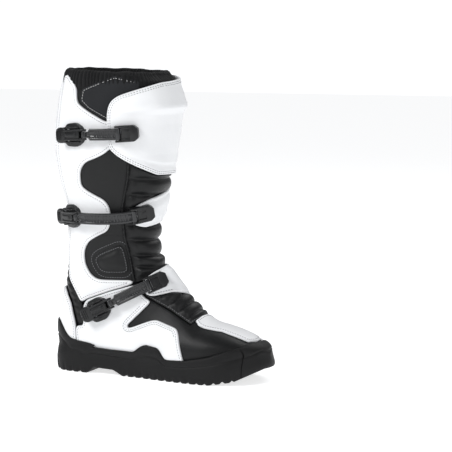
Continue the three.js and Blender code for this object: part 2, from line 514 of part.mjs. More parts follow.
for (const { name, base, clasp, under } of BUCKLES) {
  const rear = findOnSkin(...base);
  const front = findOnSkin(...clasp);
  const frontPoint = skinPoint(front.u, front.deg);
  const rearPoint = skinPoint(rear.u, rear.deg);
  const rearFrame = frameAt(rear, frontPoint);
  const backward = frameAt(front, rearPoint);
  // the clasp's frame points forward, away from the base
  const claspFrame = backward.clone().multiply(new THREE.Matrix4().makeRotationZ(Math.PI));
  const seat = typeof under === 'function' ? under(front.u, front.deg) : under;
  const claspPinHeight = seat + 5;

  // base: saddle on the frame with two cheeks and the catch pin
  const lip = cheekOut + SADDLE_LIP;
  const saddle = slab(rearFrame, [[-17, -5], [-12, -lip], [14, -lip], [20, -6], [20, 6], [14, lip], [-12,
    lip],
    [-17, 5]], [-6, plateTop + GAP + SADDLE]);
  const earTop = CATCH_HEIGHT + PIN_WALL;
  const cheek = [[-12, 2], [-11, 8.5], [-4, earTop], [4, earTop], [13, 8], [15, 2]];
  let body = saddle;
  for (const side of [[-cheekOut, -cheekIn], [cheekIn, cheekOut]]) body = body.add(profile(rearFrame,
    cheek, side));
  body = body.subtract(skin(plateTop + GAP)).subtract(pin(rearFrame, 0, CATCH_HEIGHT, PIN_R + PIN_GAP, 30));
  add(`${name}_buckle_base`, body, 'buckle');
  add(`${name}_catch_pin`, pin(rearFrame, 0, CATCH_HEIGHT, PIN_R, cheekOut), 'steel');

  // lever: hooks down over the catch pin, turns on the strap's rear eye
  const top = CATCH_HEIGHT + 4.2;
  const low = CATCH_HEIGHT - 1.2;
  const arm = [[-THUMB_LENGTH, top - 1.5], [-THUMB_LENGTH + 2, top + 0.4], [0, top + 1.2],
    [LEVER_LENGTH - 5, top],
    [LEVER_LENGTH + 2, top - 0.6], [LEVER_LENGTH + 4, CATCH_HEIGHT + 1], [LEVER_LENGTH + 3.5, low - 1],
    [LEVER_LENGTH - 3, low - 2], [4, low], [2, low], [-2, CATCH_HEIGHT + 0.8], [-8, CATCH_HEIGHT + 0.5],
    [-THUMB_LENGTH + 2, low + 2.4]];
  const thumb = slab(rearFrame, [[-THUMB_LENGTH - 3, -6], [-THUMB_LENGTH, -9.5], [-13, -9.5], [-13, 9.5],
    [-THUMB_LENGTH, 9.5], [-THUMB_LENGTH - 3, 6]], [low + 2.2, top + 0.2]);
  const notch = pin(rearFrame, 0, CATCH_HEIGHT, NOTCH, 40, 10)
    .add(block(rearFrame, [-NOTCH, NOTCH], [-40, 40], [0, CATCH_HEIGHT]));
  const mouth = block(rearFrame, [LEVER_LENGTH - EYE_R - 1, LEVER_LENGTH + 20],
    [-EYE_WIDE - PIN_GAP, EYE_WIDE + PIN_GAP], [-20, 40]);
  const lever = profile(rearFrame, arm, [-half, half]).add(thumb).subtract(notch).subtract(mouth)
    .subtract(pin(rearFrame, LEVER_LENGTH, CATCH_HEIGHT, PIN_R + PIN_GAP, 40));
  add(`${name}_lever`, lever, 'buckle');
  add(`${name}_lever_pin`, pin(rearFrame, LEVER_LENGTH, CATCH_HEIGHT, PIN_R, half), 'steel');

  // strap: a ladder strip over the leg, with an eye at each end
  const eyeRear = pin(rearFrame, LEVER_LENGTH, CATCH_HEIGHT, EYE_R, EYE_WIDE);
  const eyeFront = pin(claspFrame, 0, claspPinHeight, EYE_R, STRAP_WIDTH / 2);
  const start = new THREE.Vector3(LEVER_LENGTH, 0, CATCH_HEIGHT).applyMatrix4(rearFrame);
  const finish = new THREE.Vector3(0, 0, claspPinHeight).applyMatrix4(claspFrame);
  const startDir = new THREE.Vector3().setFromMatrixColumn(rearFrame, 0);
  const endDir = new THREE.Vector3().setFromMatrixColumn(claspFrame, 0);
  const span = start.distanceTo(finish);
  const curve = new THREE.CubicBezierCurve3(start, start.clone().addScaledVector(startDir, span / 3),
    finish.clone().addScaledVector(endDir, -span / 3), finish);
  const [acrossA, acrossB] = [rearFrame, claspFrame].map(m => new THREE.Vector3().setFromMatrixColumn(m, 1));
  const STEPS = 8;
  const rings = [];
  for (let i = 0; i <= STEPS; i++) {
    const t = i / STEPS;
    const centre = curve.getPoint(t);
    const ahead = curve.getTangent(t);
    const wide = acrossA.clone().lerp(acrossB, t).normalize();
    const up = ahead.clone().cross(wide).normalize();
    const w = i === 0 ? EYE_WIDE : STRAP_WIDTH / 2;
    const h = STRAP_THICK / 2;
    rings.push([[w, h], [-w, h], [-w, -h], [w, -h]].map(([a, b]) =>
      centre.clone().addScaledVector(wide, a).addScaledVector(up, b)));
  }
  const neck = block(rearFrame, [LEVER_LENGTH, LEVER_LENGTH + 8], [-EYE_WIDE, EYE_WIDE],
    [CATCH_HEIGHT - STRAP_THICK / 2, CATCH_HEIGHT + STRAP_THICK / 2]);
  const beside = EYE_WIDE + 0.02;
  const clearFork = block(rearFrame, [LEVER_LENGTH - 20, LEVER_LENGTH + 7], [beside, 20], [-20, 40])
    .add(block(rearFrame, [LEVER_LENGTH - 20, LEVER_LENGTH + 7], [-20, -beside], [-20, 40]));
  const strap = loft(rings).subtract(clearFork).add(eyeRear).add(eyeFront).add(neck)
    .subtract(pin(rearFrame, LEVER_LENGTH, CATCH_HEIGHT, PIN_R + PIN_GAP, 40))
    .subtract(pin(claspFrame, 0, claspPinHeight, PIN_R + PIN_GAP, 40));
  add(`${name}_strap`, strap, 'buckle');

  // clasp: hexagonal block with two ears that hold the strap's front pin
  const ear = STRAP_WIDTH / 2 + PIN_GAP;
  const wide = ear + CLASP_WALL;
  const nose = EYE_R + CLASP_LENGTH - 1;
  const claspTop = seat + CLASP_RISE;
  let clip = slab(claspFrame, [[EYE_R + 1, -wide], [nose - 5, -wide], [nose, -6], [nose, 6], [nose - 5, wide],
    [EYE_R + 1, wide]], [-4, claspTop]);
  const earShape = [[-4, seat - 8], [-4, claspPinHeight + 2], [-2, claspPinHeight + 3.6], [4,
    claspPinHeight + 3.6],
    [12, claspTop], [12, seat - 8]];
  for (const side of [[-wide, -ear], [ear, wide]]) clip = clip.add(profile(claspFrame, earShape, side));
  clip = clip.subtract(pin(claspFrame, 0, claspPinHeight, PIN_R + PIN_GAP, 40));
  const floor = typeof under === 'function' ? skin((u, deg) => guardOuter(u, deg) + GAP) : skin(under + GAP);
  clip = clip.subtract(floor);
  const pocket = block(claspFrame, [EYE_R + 5, EYE_R + 16], [-5, 5], [claspTop - POCKET, 60]);
  clip = clip.subtract(pocket);
  add(`${name}_clasp`, clip, 'buckle');
  add(`${name}_clasp_pin`, pin(claspFrame, 0, claspPinHeight, PIN_R, wide), 'steel');
  const screw = new THREE.CylinderGeometry(3.2, 3.2, SCREW_HEAD, 10).rotateX(Math.PI / 2);
  screw.translate(EYE_R + 10.5, 0, claspTop - POCKET + SCREW_HEAD / 2 + PIN_GAP);
  add(`${name}_clasp_screw`, solidOf(screw.applyMatrix4(claspFrame)), 'steel');
}

// the boot's own frame: on the floor, under the middle of its box
const box = new THREE.Box3().setFromObject(boot);
boot.position.set(-(box.min.x + box.max.x) / 2, -(box.min.y + box.max.y) / 2, -box.min.z);

export default boot;
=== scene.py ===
"""Off-road riding boot, right foot: leather and padded bellows under hard white guards, a rubber cup
sole and three lever buckles. Sizes in the sections are millimetres in the boot's drawing frame, with
x from the heel, z from the floor and the outer side towards -y; meshes are metres in the CAD frame."""
import json
import math

import bpy
import numpy as np
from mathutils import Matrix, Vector
from mathutils.geometry import delaunay_2d_cdt


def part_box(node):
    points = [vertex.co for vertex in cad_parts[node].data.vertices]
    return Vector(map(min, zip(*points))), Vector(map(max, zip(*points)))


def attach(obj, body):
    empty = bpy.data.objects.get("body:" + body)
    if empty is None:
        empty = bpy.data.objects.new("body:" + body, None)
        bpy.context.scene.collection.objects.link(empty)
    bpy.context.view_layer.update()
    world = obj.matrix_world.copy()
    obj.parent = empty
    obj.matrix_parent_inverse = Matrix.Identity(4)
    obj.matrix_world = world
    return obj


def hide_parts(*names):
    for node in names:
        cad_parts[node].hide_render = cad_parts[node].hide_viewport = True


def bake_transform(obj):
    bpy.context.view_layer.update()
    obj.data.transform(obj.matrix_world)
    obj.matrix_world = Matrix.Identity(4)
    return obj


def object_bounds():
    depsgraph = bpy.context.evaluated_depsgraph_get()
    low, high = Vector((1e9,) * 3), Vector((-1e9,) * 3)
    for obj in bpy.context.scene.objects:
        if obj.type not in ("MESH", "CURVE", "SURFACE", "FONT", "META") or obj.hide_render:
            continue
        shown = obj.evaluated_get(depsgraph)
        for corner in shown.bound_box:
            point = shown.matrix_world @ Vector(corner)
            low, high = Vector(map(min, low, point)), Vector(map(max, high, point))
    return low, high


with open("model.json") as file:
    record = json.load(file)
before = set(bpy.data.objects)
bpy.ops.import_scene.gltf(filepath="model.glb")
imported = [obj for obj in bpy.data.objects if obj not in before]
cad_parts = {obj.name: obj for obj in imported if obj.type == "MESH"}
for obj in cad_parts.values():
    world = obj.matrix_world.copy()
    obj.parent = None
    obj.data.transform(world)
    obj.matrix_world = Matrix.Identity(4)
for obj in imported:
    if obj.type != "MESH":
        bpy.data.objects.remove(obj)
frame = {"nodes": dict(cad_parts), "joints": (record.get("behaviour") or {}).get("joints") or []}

cad_low, cad_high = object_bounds()

# ---- Camera ----
# A long lens from the outer side, a little ahead of the boot and a little above its middle.
azimuth, elevation, distance = math.radians(25), math.radians(6.2), 2.4
back = Vector((math.sin(azimuth) * math.cos(elevation), -math.cos(azimuth) * math.cos(elevation),
               math.sin(elevation)))
aim = (cad_low + cad_high) / 2 + Vector((-0.0164, 0.0064, -0.001))
camera_data = bpy.data.cameras.new("camera")
camera_data.lens, camera_data.sensor_width = 148, 36
camera_data.shift_x, camera_data.shift_y = 0.163, -0.005
camera = bpy.data.objects.new("camera", camera_data)
camera.location = aim + back * distance
camera.rotation_euler = back.to_track_quat("Z", "Y").to_euler()
scene = bpy.context.scene
scene.collection.objects.link(camera)
scene.camera = camera


# ---- Light and floor ----
# Soft boxes above both sides and behind, a bright even surround, and a plain pale floor.
def soft_box(name, place, size, watts):
    """A square area lamp that faces the boot's middle."""
    data = bpy.data.lights.new(name, "AREA")
    data.size, data.energy = size, watts
    lamp = bpy.data.objects.new(name, data)
    lamp.location = place
    lamp.rotation_euler = (Vector(place) - aim).to_track_quat("Z", "Y").to_euler()
    scene.collection.objects.link(lamp)


soft_box("key", (-1.0, -1.7, 1.7), 0.9, 36)
soft_box("fill", (1.9, -1.1, 0.9), 1.0, 9)
soft_box("rim", (0.6, 1.6, 1.9), 1.2, 16)
world = bpy.data.worlds.new("surround")
world.use_nodes = True
sky = world.node_tree.nodes["Background"]
sky.inputs["Color"].default_value = (0.97, 0.98, 1.0, 1)
seen = world.node_tree.nodes.new("ShaderNodeLightPath")       # the camera sees a brighter surround
bright = world.node_tree.nodes.new("ShaderNodeMapRange")
bright.inputs["To Min"].default_value, bright.inputs["To Max"].default_value = 0.31, 1.1
world.node_tree.links.new(seen.outputs["Is Camera Ray"], bright.inputs["Value"])
world.node_tree.links.new(bright.outputs["Result"], sky.inputs["Strength"])
scene.world = world
scene.view_settings.view_transform = "Standard"
floor_mesh = bpy.data.meshes.new("floor")
floor_mesh.from_pydata([(-9, -9, 0), (9, -9, 0), (9, 9, 0), (-9, 9, 0)], [], [(0, 1, 2, 3)])
floor = bpy.data.objects.new("floor", floor_mesh)
scene.collection.objects.link(floor)


# ---- Finishes ----
# Each finish is a node tree on a Principled shader; patterns are written as sums and products.
class Wire:
    """One output socket. Arithmetic on it adds Math nodes to its finish's tree."""

    def __init__(self, finish, socket):
        self.finish, self.socket = finish, socket

    def math(self, operation, first, second=0.0):
        return self.finish.node("ShaderNodeMath", {"operation": operation}, {0: first, 1: second})

    def __add__(self, other):
        return self.math("ADD", self, other)

    def __sub__(self, other):
        return self.math("SUBTRACT", self, other)

    def __rsub__(self, other):
        return self.math("SUBTRACT", other, self)

    def __mul__(self, other):
        return self.math("MULTIPLY", self, other)

    __radd__, __rmul__ = __add__, __mul__


class Finish:
    """A material, with one method that makes any node and one that sets the shader's sockets."""

    def __init__(self, name):
        self.material = bpy.data.materials.new(name)
        self.material.use_nodes = True
        self.tree = self.material.node_tree
        self.shader = self.tree.nodes["Principled BSDF"]
        self.place = self.node("ShaderNodeTexCoord", {}, {}, "Object")

    def node(self, kind, settings, inputs, output=0):
        made = self.tree.nodes.new(kind)
        for key, value in settings.items():
            setattr(made, key, value)
        for key, value in inputs.items():
            self.feed(made.inputs[key], value)
        return Wire(self, made.outputs[output])

    def feed(self, socket, value):
        if isinstance(value, Wire):
            self.tree.links.new(value.socket, socket)
        else:
            socket.default_value = value

    def set(self, **values):
        for key, value in values.items():
            self.feed(self.shader.inputs[key.replace("_", " ")], value)

    def noise(self, scale, detail=2.0):
        return self.node("ShaderNodeTexNoise", {},
                         {"Vector": self.place, "Scale": scale, "Detail": detail})

    def cells(self, scale, feature="F1"):
        return self.node("ShaderNodeTexVoronoi", {"feature": feature},
                         {"Vector": self.place, "Scale": scale})

    def fade(self, low, high, share):
        """A colour between two, by a share from 0 to 1."""
        return self.node("ShaderNodeMix", {"data_type": "RGBA"},
                         {0: share, 6: (*low, 1), 7: (*high, 1)}, 2)

    def bump(self, height, metres, strength=1.0):
        self.set(Normal=self.node("ShaderNodeBump", {},
                                  {"Height": height, "Distance": metres, "Strength": strength}))


def moulded_finish(name, low, high, rough, grain, depth, shine=0.45):
    """Plastic or rubber from a spark-eroded mould: fine cells, with slight changes of colour and gloss."""
    finish = Finish(name)
    wear = finish.noise(38, 4)
    finish.set(Base_Color=finish.fade(low, high, wear), Roughness=wear * 0.16 + (rough - 0.08),
               Specular_IOR_Level=shine)
    finish.bump(finish.noise(grain, 2) + finish.cells(grain * 0.6) * 0.5, depth)
    return finish.material


def leather_finish(name, low, high, rough, pore, depth):
    """Grained leather: pebbles from two sizes of cell, with soft creases and uneven polish."""
    finish = Finish(name)
    pebbles = finish.cells(pore, "DISTANCE_TO_EDGE")
    polish = finish.noise(26, 5)
    finish.set(Base_Color=finish.fade(low, high, polish * 0.7 + pebbles * 0.6),
               Roughness=polish * 0.22 + (rough - 0.1), Specular_IOR_Level=0.26)
    finish.bump(pebbles + finish.cells(pore * 2.1) * 0.3 + finish.noise(140, 3) * 0.8, depth)
    return finish.material


floor_finish = Finish("floor")
floor_finish.set(Base_Color=(0.8, 0.81, 0.82, 1), Roughness=0.9, Emission_Color=(1, 1, 1, 1),
                 Emission_Strength=0.7)
floor_mesh.materials.append(floor_finish.material)
WHITE = moulded_finish("white guard", (0.80, 0.81, 0.825), (0.86, 0.868, 0.88), 0.42, 1500, 0.00016)
LEATHER = leather_finish("black leather", (0.0035, 0.0037, 0.004), (0.010, 0.0105, 0.011), 0.36, 800,
                         0.0002)
RUBBER = moulded_finish("rubber", (0.0035, 0.0036, 0.0038), (0.009, 0.009, 0.0095), 0.55, 1300, 0.0002,
                        0.22)
BUCKLE = moulded_finish("buckle plastic", (0.006, 0.0063, 0.0067), (0.015, 0.0155, 0.0165), 0.3, 1700,
                        0.00008, 0.35)
STRAP = moulded_finish("strap plastic", (0.014, 0.0145, 0.0155), (0.030, 0.031, 0.033), 0.26, 1700, 0.00006)


def thread_finish(name, colour):
    """Twisted bonded thread, shown as slanting bands along its length."""
    finish = Finish(name)
    twist = finish.node("ShaderNodeTexWave", {"bands_direction": "DIAGONAL"},
                        {"Vector": finish.place, "Scale": 900, "Distortion": 1.0})
    dark = tuple(c * 0.7 for c in colour)
    finish.set(Base_Color=finish.fade(dark, colour, twist), Roughness=0.6)
    finish.bump(twist, 0.0001)
    return finish.material


GREY_THREAD = thread_finish("grey thread", (0.22, 0.225, 0.235))
PALE_THREAD = thread_finish("pale thread", (0.72, 0.72, 0.71))


# ---- The last ----
# Sections fanned from the collar round the heel to the toe, as the boot's last is drawn: front x z,
# back x z, half width out and in, centre y, roundness in front and behind, and the widest place.
STATIONS = np.array([
    [124, 392, -14, 392, 57, 57, 0, 2.3, 2.4, 0.50], [131, 360, -22, 360, 59, 59, 0, 2.3, 2.4, 0.50],
    [131, 322, -28, 322, 59, 59, 0, 2.3, 2.4, 0.50], [125, 286, -28, 286, 58, 58, 0, 2.3, 2.4, 0.50],
    [118, 256, -22, 252, 55, 55, 0, 2.3, 2.4, 0.50], [112, 228, -13, 221, 50, 50, 0, 2.3, 2.4, 0.50],
    [106, 201, -12, 190, 46, 46, 0, 2.3, 2.4, 0.50], [104, 177, -13, 159, 42, 42, 0, 2.2, 2.4, 0.48],
    [107, 157, -16, 128, 40, 40, 0, 2.2, 2.4, 0.46], [116, 142, -22, 96, 39, 39, 0, 2.2, 2.4, 0.44],
    [127, 128, -27, 64, 39, 38, 0, 2.2, 2.5, 0.42], [139, 114, -21, 34, 39, 37, 0, 2.2, 2.6, 0.42],
    [151, 102, 15, 24, 40, 36, 0, 2.2, 2.8, 0.40], [163, 91, 62, 22, 42, 37, 0, 2.2, 3.0, 0.38],
    [175, 80, 106, 19, 45, 41, 0, 2.2, 3.2, 0.36], [187, 71, 146, 16, 48, 45, 0, 2.2, 3.4, 0.34],
    [206, 66, 181, 15, 48, 46, 1, 2.2, 3.4, 0.34], [225, 60, 210, 17, 43, 44, 2, 2.2, 3.2, 0.36],
    [240, 53, 232, 21, 34, 37, 4, 2.2, 2.8, 0.40], [251, 45, 247, 27, 21, 25, 5, 2.1, 2.3, 0.45],
    [257, 36, 257, 36, 0, 0, 6, 2.0, 2.0, 0.50]])
TOE_X, SOLE_Y = 265, -54      # drawn front of the toe cap and outer side of the sole
shift = np.array([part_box("toe_cap")[1].x - TOE_X / 1000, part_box("outsole")[0].y - SOLE_Y / 1000, 0])
TURN = 0.9                    # millimetres on the unrolled sheet for a degree round the leg


def skin_at(u, degrees):
    """A point on the last: Catmull-Rom between the sections, and round a section a superellipse whose
    power changes from front to back. 0 degrees is the front, 90 the outer side, 180 the back."""
    u, degrees = np.broadcast_arrays(np.clip(u, 0, len(STATIONS) - 1 - 1e-6), degrees)
    i = np.floor(u).astype(int)
    t = (u - i)[..., None]
    p0, p1, p2, p3 = (STATIONS[np.clip(i + k, 0, len(STATIONS) - 1)] for k in (-1, 0, 1, 2))
    row = 0.5 * (2 * p1 + (p2 - p0) * t + (2 * p0 - 5 * p1 + 4 * p2 - p3) * t**2
                 + (3 * p1 - p0 - 3 * p2 + p3) * t**3)
    fx, fz, bx, bz, outer, inner, middle, front, behind, widest = np.moveaxis(row, -1, 0)
    c, s = np.cos(np.radians(degrees)), np.sin(np.radians(degrees))
    power = behind + (front - behind) * (1 + c) / 2
    k = (np.abs(c)**power + np.abs(s)**power)**(-1 / power)
    e, q = c * k, s * k
    cx, cz = bx + (fx - bx) * widest, bz + (fz - bz) * widest
    x = cx + np.where(e > 0, fx - cx, cx - bx) * e
    z = cz + np.where(e > 0, fz - cz, cz - bz) * e
    return np.stack([x, middle - np.where(q > 0, outer, inner) * q, z], -1)


u_table = np.linspace(0, len(STATIONS) - 1, 800)
side_line = skin_at(u_table, 90.0)
s_table = np.concatenate([[0], np.cumsum(np.linalg.norm(np.diff(side_line, axis=0), axis=1))])


def skin(sheet):
    """Points on the last for places on the unrolled sheet: millimetres down the side, and round it."""
    return skin_at(np.interp(sheet[..., 0], s_table, u_table), sheet[..., 1] / TURN)


SLOPE_STEP = 0.8


def slopes(sheet):
    """How the last's point changes along the sheet's two directions, by central differences."""
    down, round_it = np.array([SLOPE_STEP, 0]), np.array([0, SLOPE_STEP])
    held = np.clip(sheet, [0.9, -1e9], [s_table[-1] - 0.9, 1e9])
    return [(skin(held + d) - skin(held - d)) / (2 * SLOPE_STEP) for d in (down, round_it)]


def unit(vectors):
    return vectors / np.maximum(np.linalg.norm(vectors, axis=-1, keepdims=True), 1e-12)


def outward(sheet):
    """The last's outward normal: the cross product of its two slopes."""
    down, round_it = slopes(sheet)
    return unit(np.cross(round_it, down))


search_u, search_deg = np.meshgrid(np.arange(0, 19.96, 0.08), np.arange(0, 181, 2.0), indexing="ij")
search_xz = skin_at(search_u, search_deg)[..., ::2].reshape(-1, 2)
search_sheet = np.stack([np.interp(search_u, u_table, s_table), search_deg * TURN], -1).reshape(-1, 2)


def locate(points, side):
    """Where on the sheet the side-view points [x, z] lie: the nearest of a table, then damped least
    squares. The inner side mirrors the outer one, in front of it or behind it. A run may also be
    given as section numbers and degrees."""
    points = np.asarray(points, float)
    if side == "turn":
        return np.stack([np.interp(points[:, 0], u_table, s_table), points[:, 1] * TURN], 1)
    y_sign = 1 if side == "out" else -1
    gaps = ((points[:, None] - search_xz[None])**2).sum(-1)
    sheet = search_sheet[gaps.argmin(1)].copy()
    for _ in range(5):
        here = sheet * [1, y_sign]
        a, b = (slope[:, ::2] * sign for slope, sign in zip(slopes(here), (1, y_sign)))
        miss = points - skin(here)[:, ::2]
        aa, bb, ab = (a * a).sum(1) + 0.03, (b * b).sum(1) + 0.03, (a * b).sum(1)
        ra, rb = (a * miss).sum(1), (b * miss).sum(1)
        det = aa * bb - ab * ab
        step = np.stack([(bb * ra - ab * rb) / det, (aa * rb - ab * ra) / det], 1)
        sheet = np.clip(sheet + np.clip(step, -4, 4), [0, 0], [s_table[-1] - 1, 180 * TURN])
    if side == "in":
        sheet[:, 1] *= -1
    if side == "in behind":
        sheet[:, 1] = 360 * TURN - sheet[:, 1]
    return sheet


def rounded(points, radius, closed):
    """A polyline whose corners are quadratic curves that start at most a radius from the corner."""
    points = [np.array(p, float) for p in points]
    line = []
    for i, p in enumerate(points):
        if not closed and i in (0, len(points) - 1):
            line.append(p)
            continue
        before, after = points[i - 1], points[(i + 1) % len(points)]
        a, b = np.linalg.norm(before - p), np.linalg.norm(after - p)
        start = p + (before - p) * min(radius, a * 0.45) / a
        end = p + (after - p) * min(radius, b * 0.45) / b
        for t in np.linspace(0, 1, 6):
            line.append(start * (1 - t)**2 + 2 * p * t * (1 - t) + end * t**2)
    return np.array(line)


def resampled(line, step, closed=True):
    """The same line with its points an equal step apart."""
    if closed:
        line = np.vstack([line, line[:1]])
    run = np.concatenate([[0], np.cumsum(np.linalg.norm(np.diff(line, axis=0), axis=1))])
    count = max(4, int(round(run[-1] / step)))
    places = np.linspace(0, run[-1], count + 1)
    if closed:
        places = places[:-1]
    return np.stack([np.interp(places, run, line[:, k]) for k in range(line.shape[1])], -1)


def outline(*runs, corner=4.0):
    """A closed loop on the sheet, from side-view runs of points on the outer and inner sides. Where a
    loop of two runs crosses the front or back, the side view can't place it, so it goes straight."""
    closed = len(runs) == 1
    parts = []
    for side, points in runs:
        part = locate(resampled(rounded(points, corner, closed), 2.0, closed), side)
        away = np.abs(part[:, 1] / TURN)
        clear = (away > 24) & (np.abs(away - 180) > 13)
        parts.append(part if closed or side == "turn" else part[clear])
    return resampled(rounded(resampled(np.concatenate(parts), 3.0), 2.0, True), 1.3)


def area(loop):
    ahead = np.roll(loop, -1, axis=0)
    return 0.5 * (loop[:, 0] * ahead[:, 1] - ahead[:, 0] * loop[:, 1]).sum()


def inset(loop, distance):
    """The loop moved inwards over the last: the way across the edge is found in space and brought
    back to the sheet by least squares, and points that fold over themselves are left out."""
    down, round_it = slopes(loop)
    points = skin(loop)
    tangent = np.roll(points, -2, axis=0) - np.roll(points, 2, axis=0)
    way = unit(np.cross(np.cross(down, round_it), tangent)) * np.sign(area(loop)) * distance
    aa, bb, ab = (down**2).sum(1), (round_it**2).sum(1), (down * round_it).sum(1)
    ra, rb = (down * way).sum(1), (round_it * way).sum(1)
    det = np.maximum(aa * bb - ab * ab, 1e-9)
    moved = loop + np.stack([(bb * ra - ab * rb) / det, (aa * rb - ab * ra) / det], 1)
    reach = np.linalg.norm(skin(moved)[:, None] - points[None], axis=-1).min(1)
    return moved[reach > 0.93 * distance - 0.02]


def make_object(name, points, faces, material, body=None, replaces=()):
    """A shaded mesh from points in the drawing frame, which rides on a body."""
    mesh = bpy.data.meshes.new(name)
    mesh.from_pydata((np.asarray(points) / 1000 + shift).tolist(), [], [list(f) for f in faces])
    mesh.materials.append(material)
    mesh.polygons.foreach_set("use_smooth", np.ones(len(mesh.polygons), bool))
    made = bpy.data.objects.new(name, mesh)
    scene.collection.objects.link(made)
    if body == "ankle":
        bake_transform(made)
    else:
        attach(made, body)
    if replaces:
        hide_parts(*replaces)
    return made


def inside(points, loop):
    """Whether each point lies in the loop, by counting the edges that a ray crosses."""
    a, b = loop, np.roll(loop, -1, axis=0)
    x, y = points[:, :1], points[:, 1:]
    crosses = (a[:, 1] > y) != (b[:, 1] > y)
    at = a[:, 0] + (y - a[:, 1]) * (b[:, 0] - a[:, 0]) / np.where(b[:, 1] == a[:, 1], 1e-9, b[:, 1] - a[:, 1])
    return ((x < at) & crosses).sum(1) % 2 == 1


def nearest(points, others):
    """Distance from each point to the closest of some others."""
    return np.concatenate([np.linalg.norm(part[:, None] - others[None], axis=-1).min(1)
                           for part in np.array_split(points, len(points) // 800 + 1)])


def covered(sheet, loops):
    """1 where a place lies under another panel, easing to 0 a little outside its outline."""
    share = np.zeros(len(sheet))
    for loop in loops:
        gap = nearest(skin(sheet), skin(loop))
        share = np.maximum(share, swell(np.where(inside(sheet, loop), gap, -gap), -2.5, 0.5))
    return share


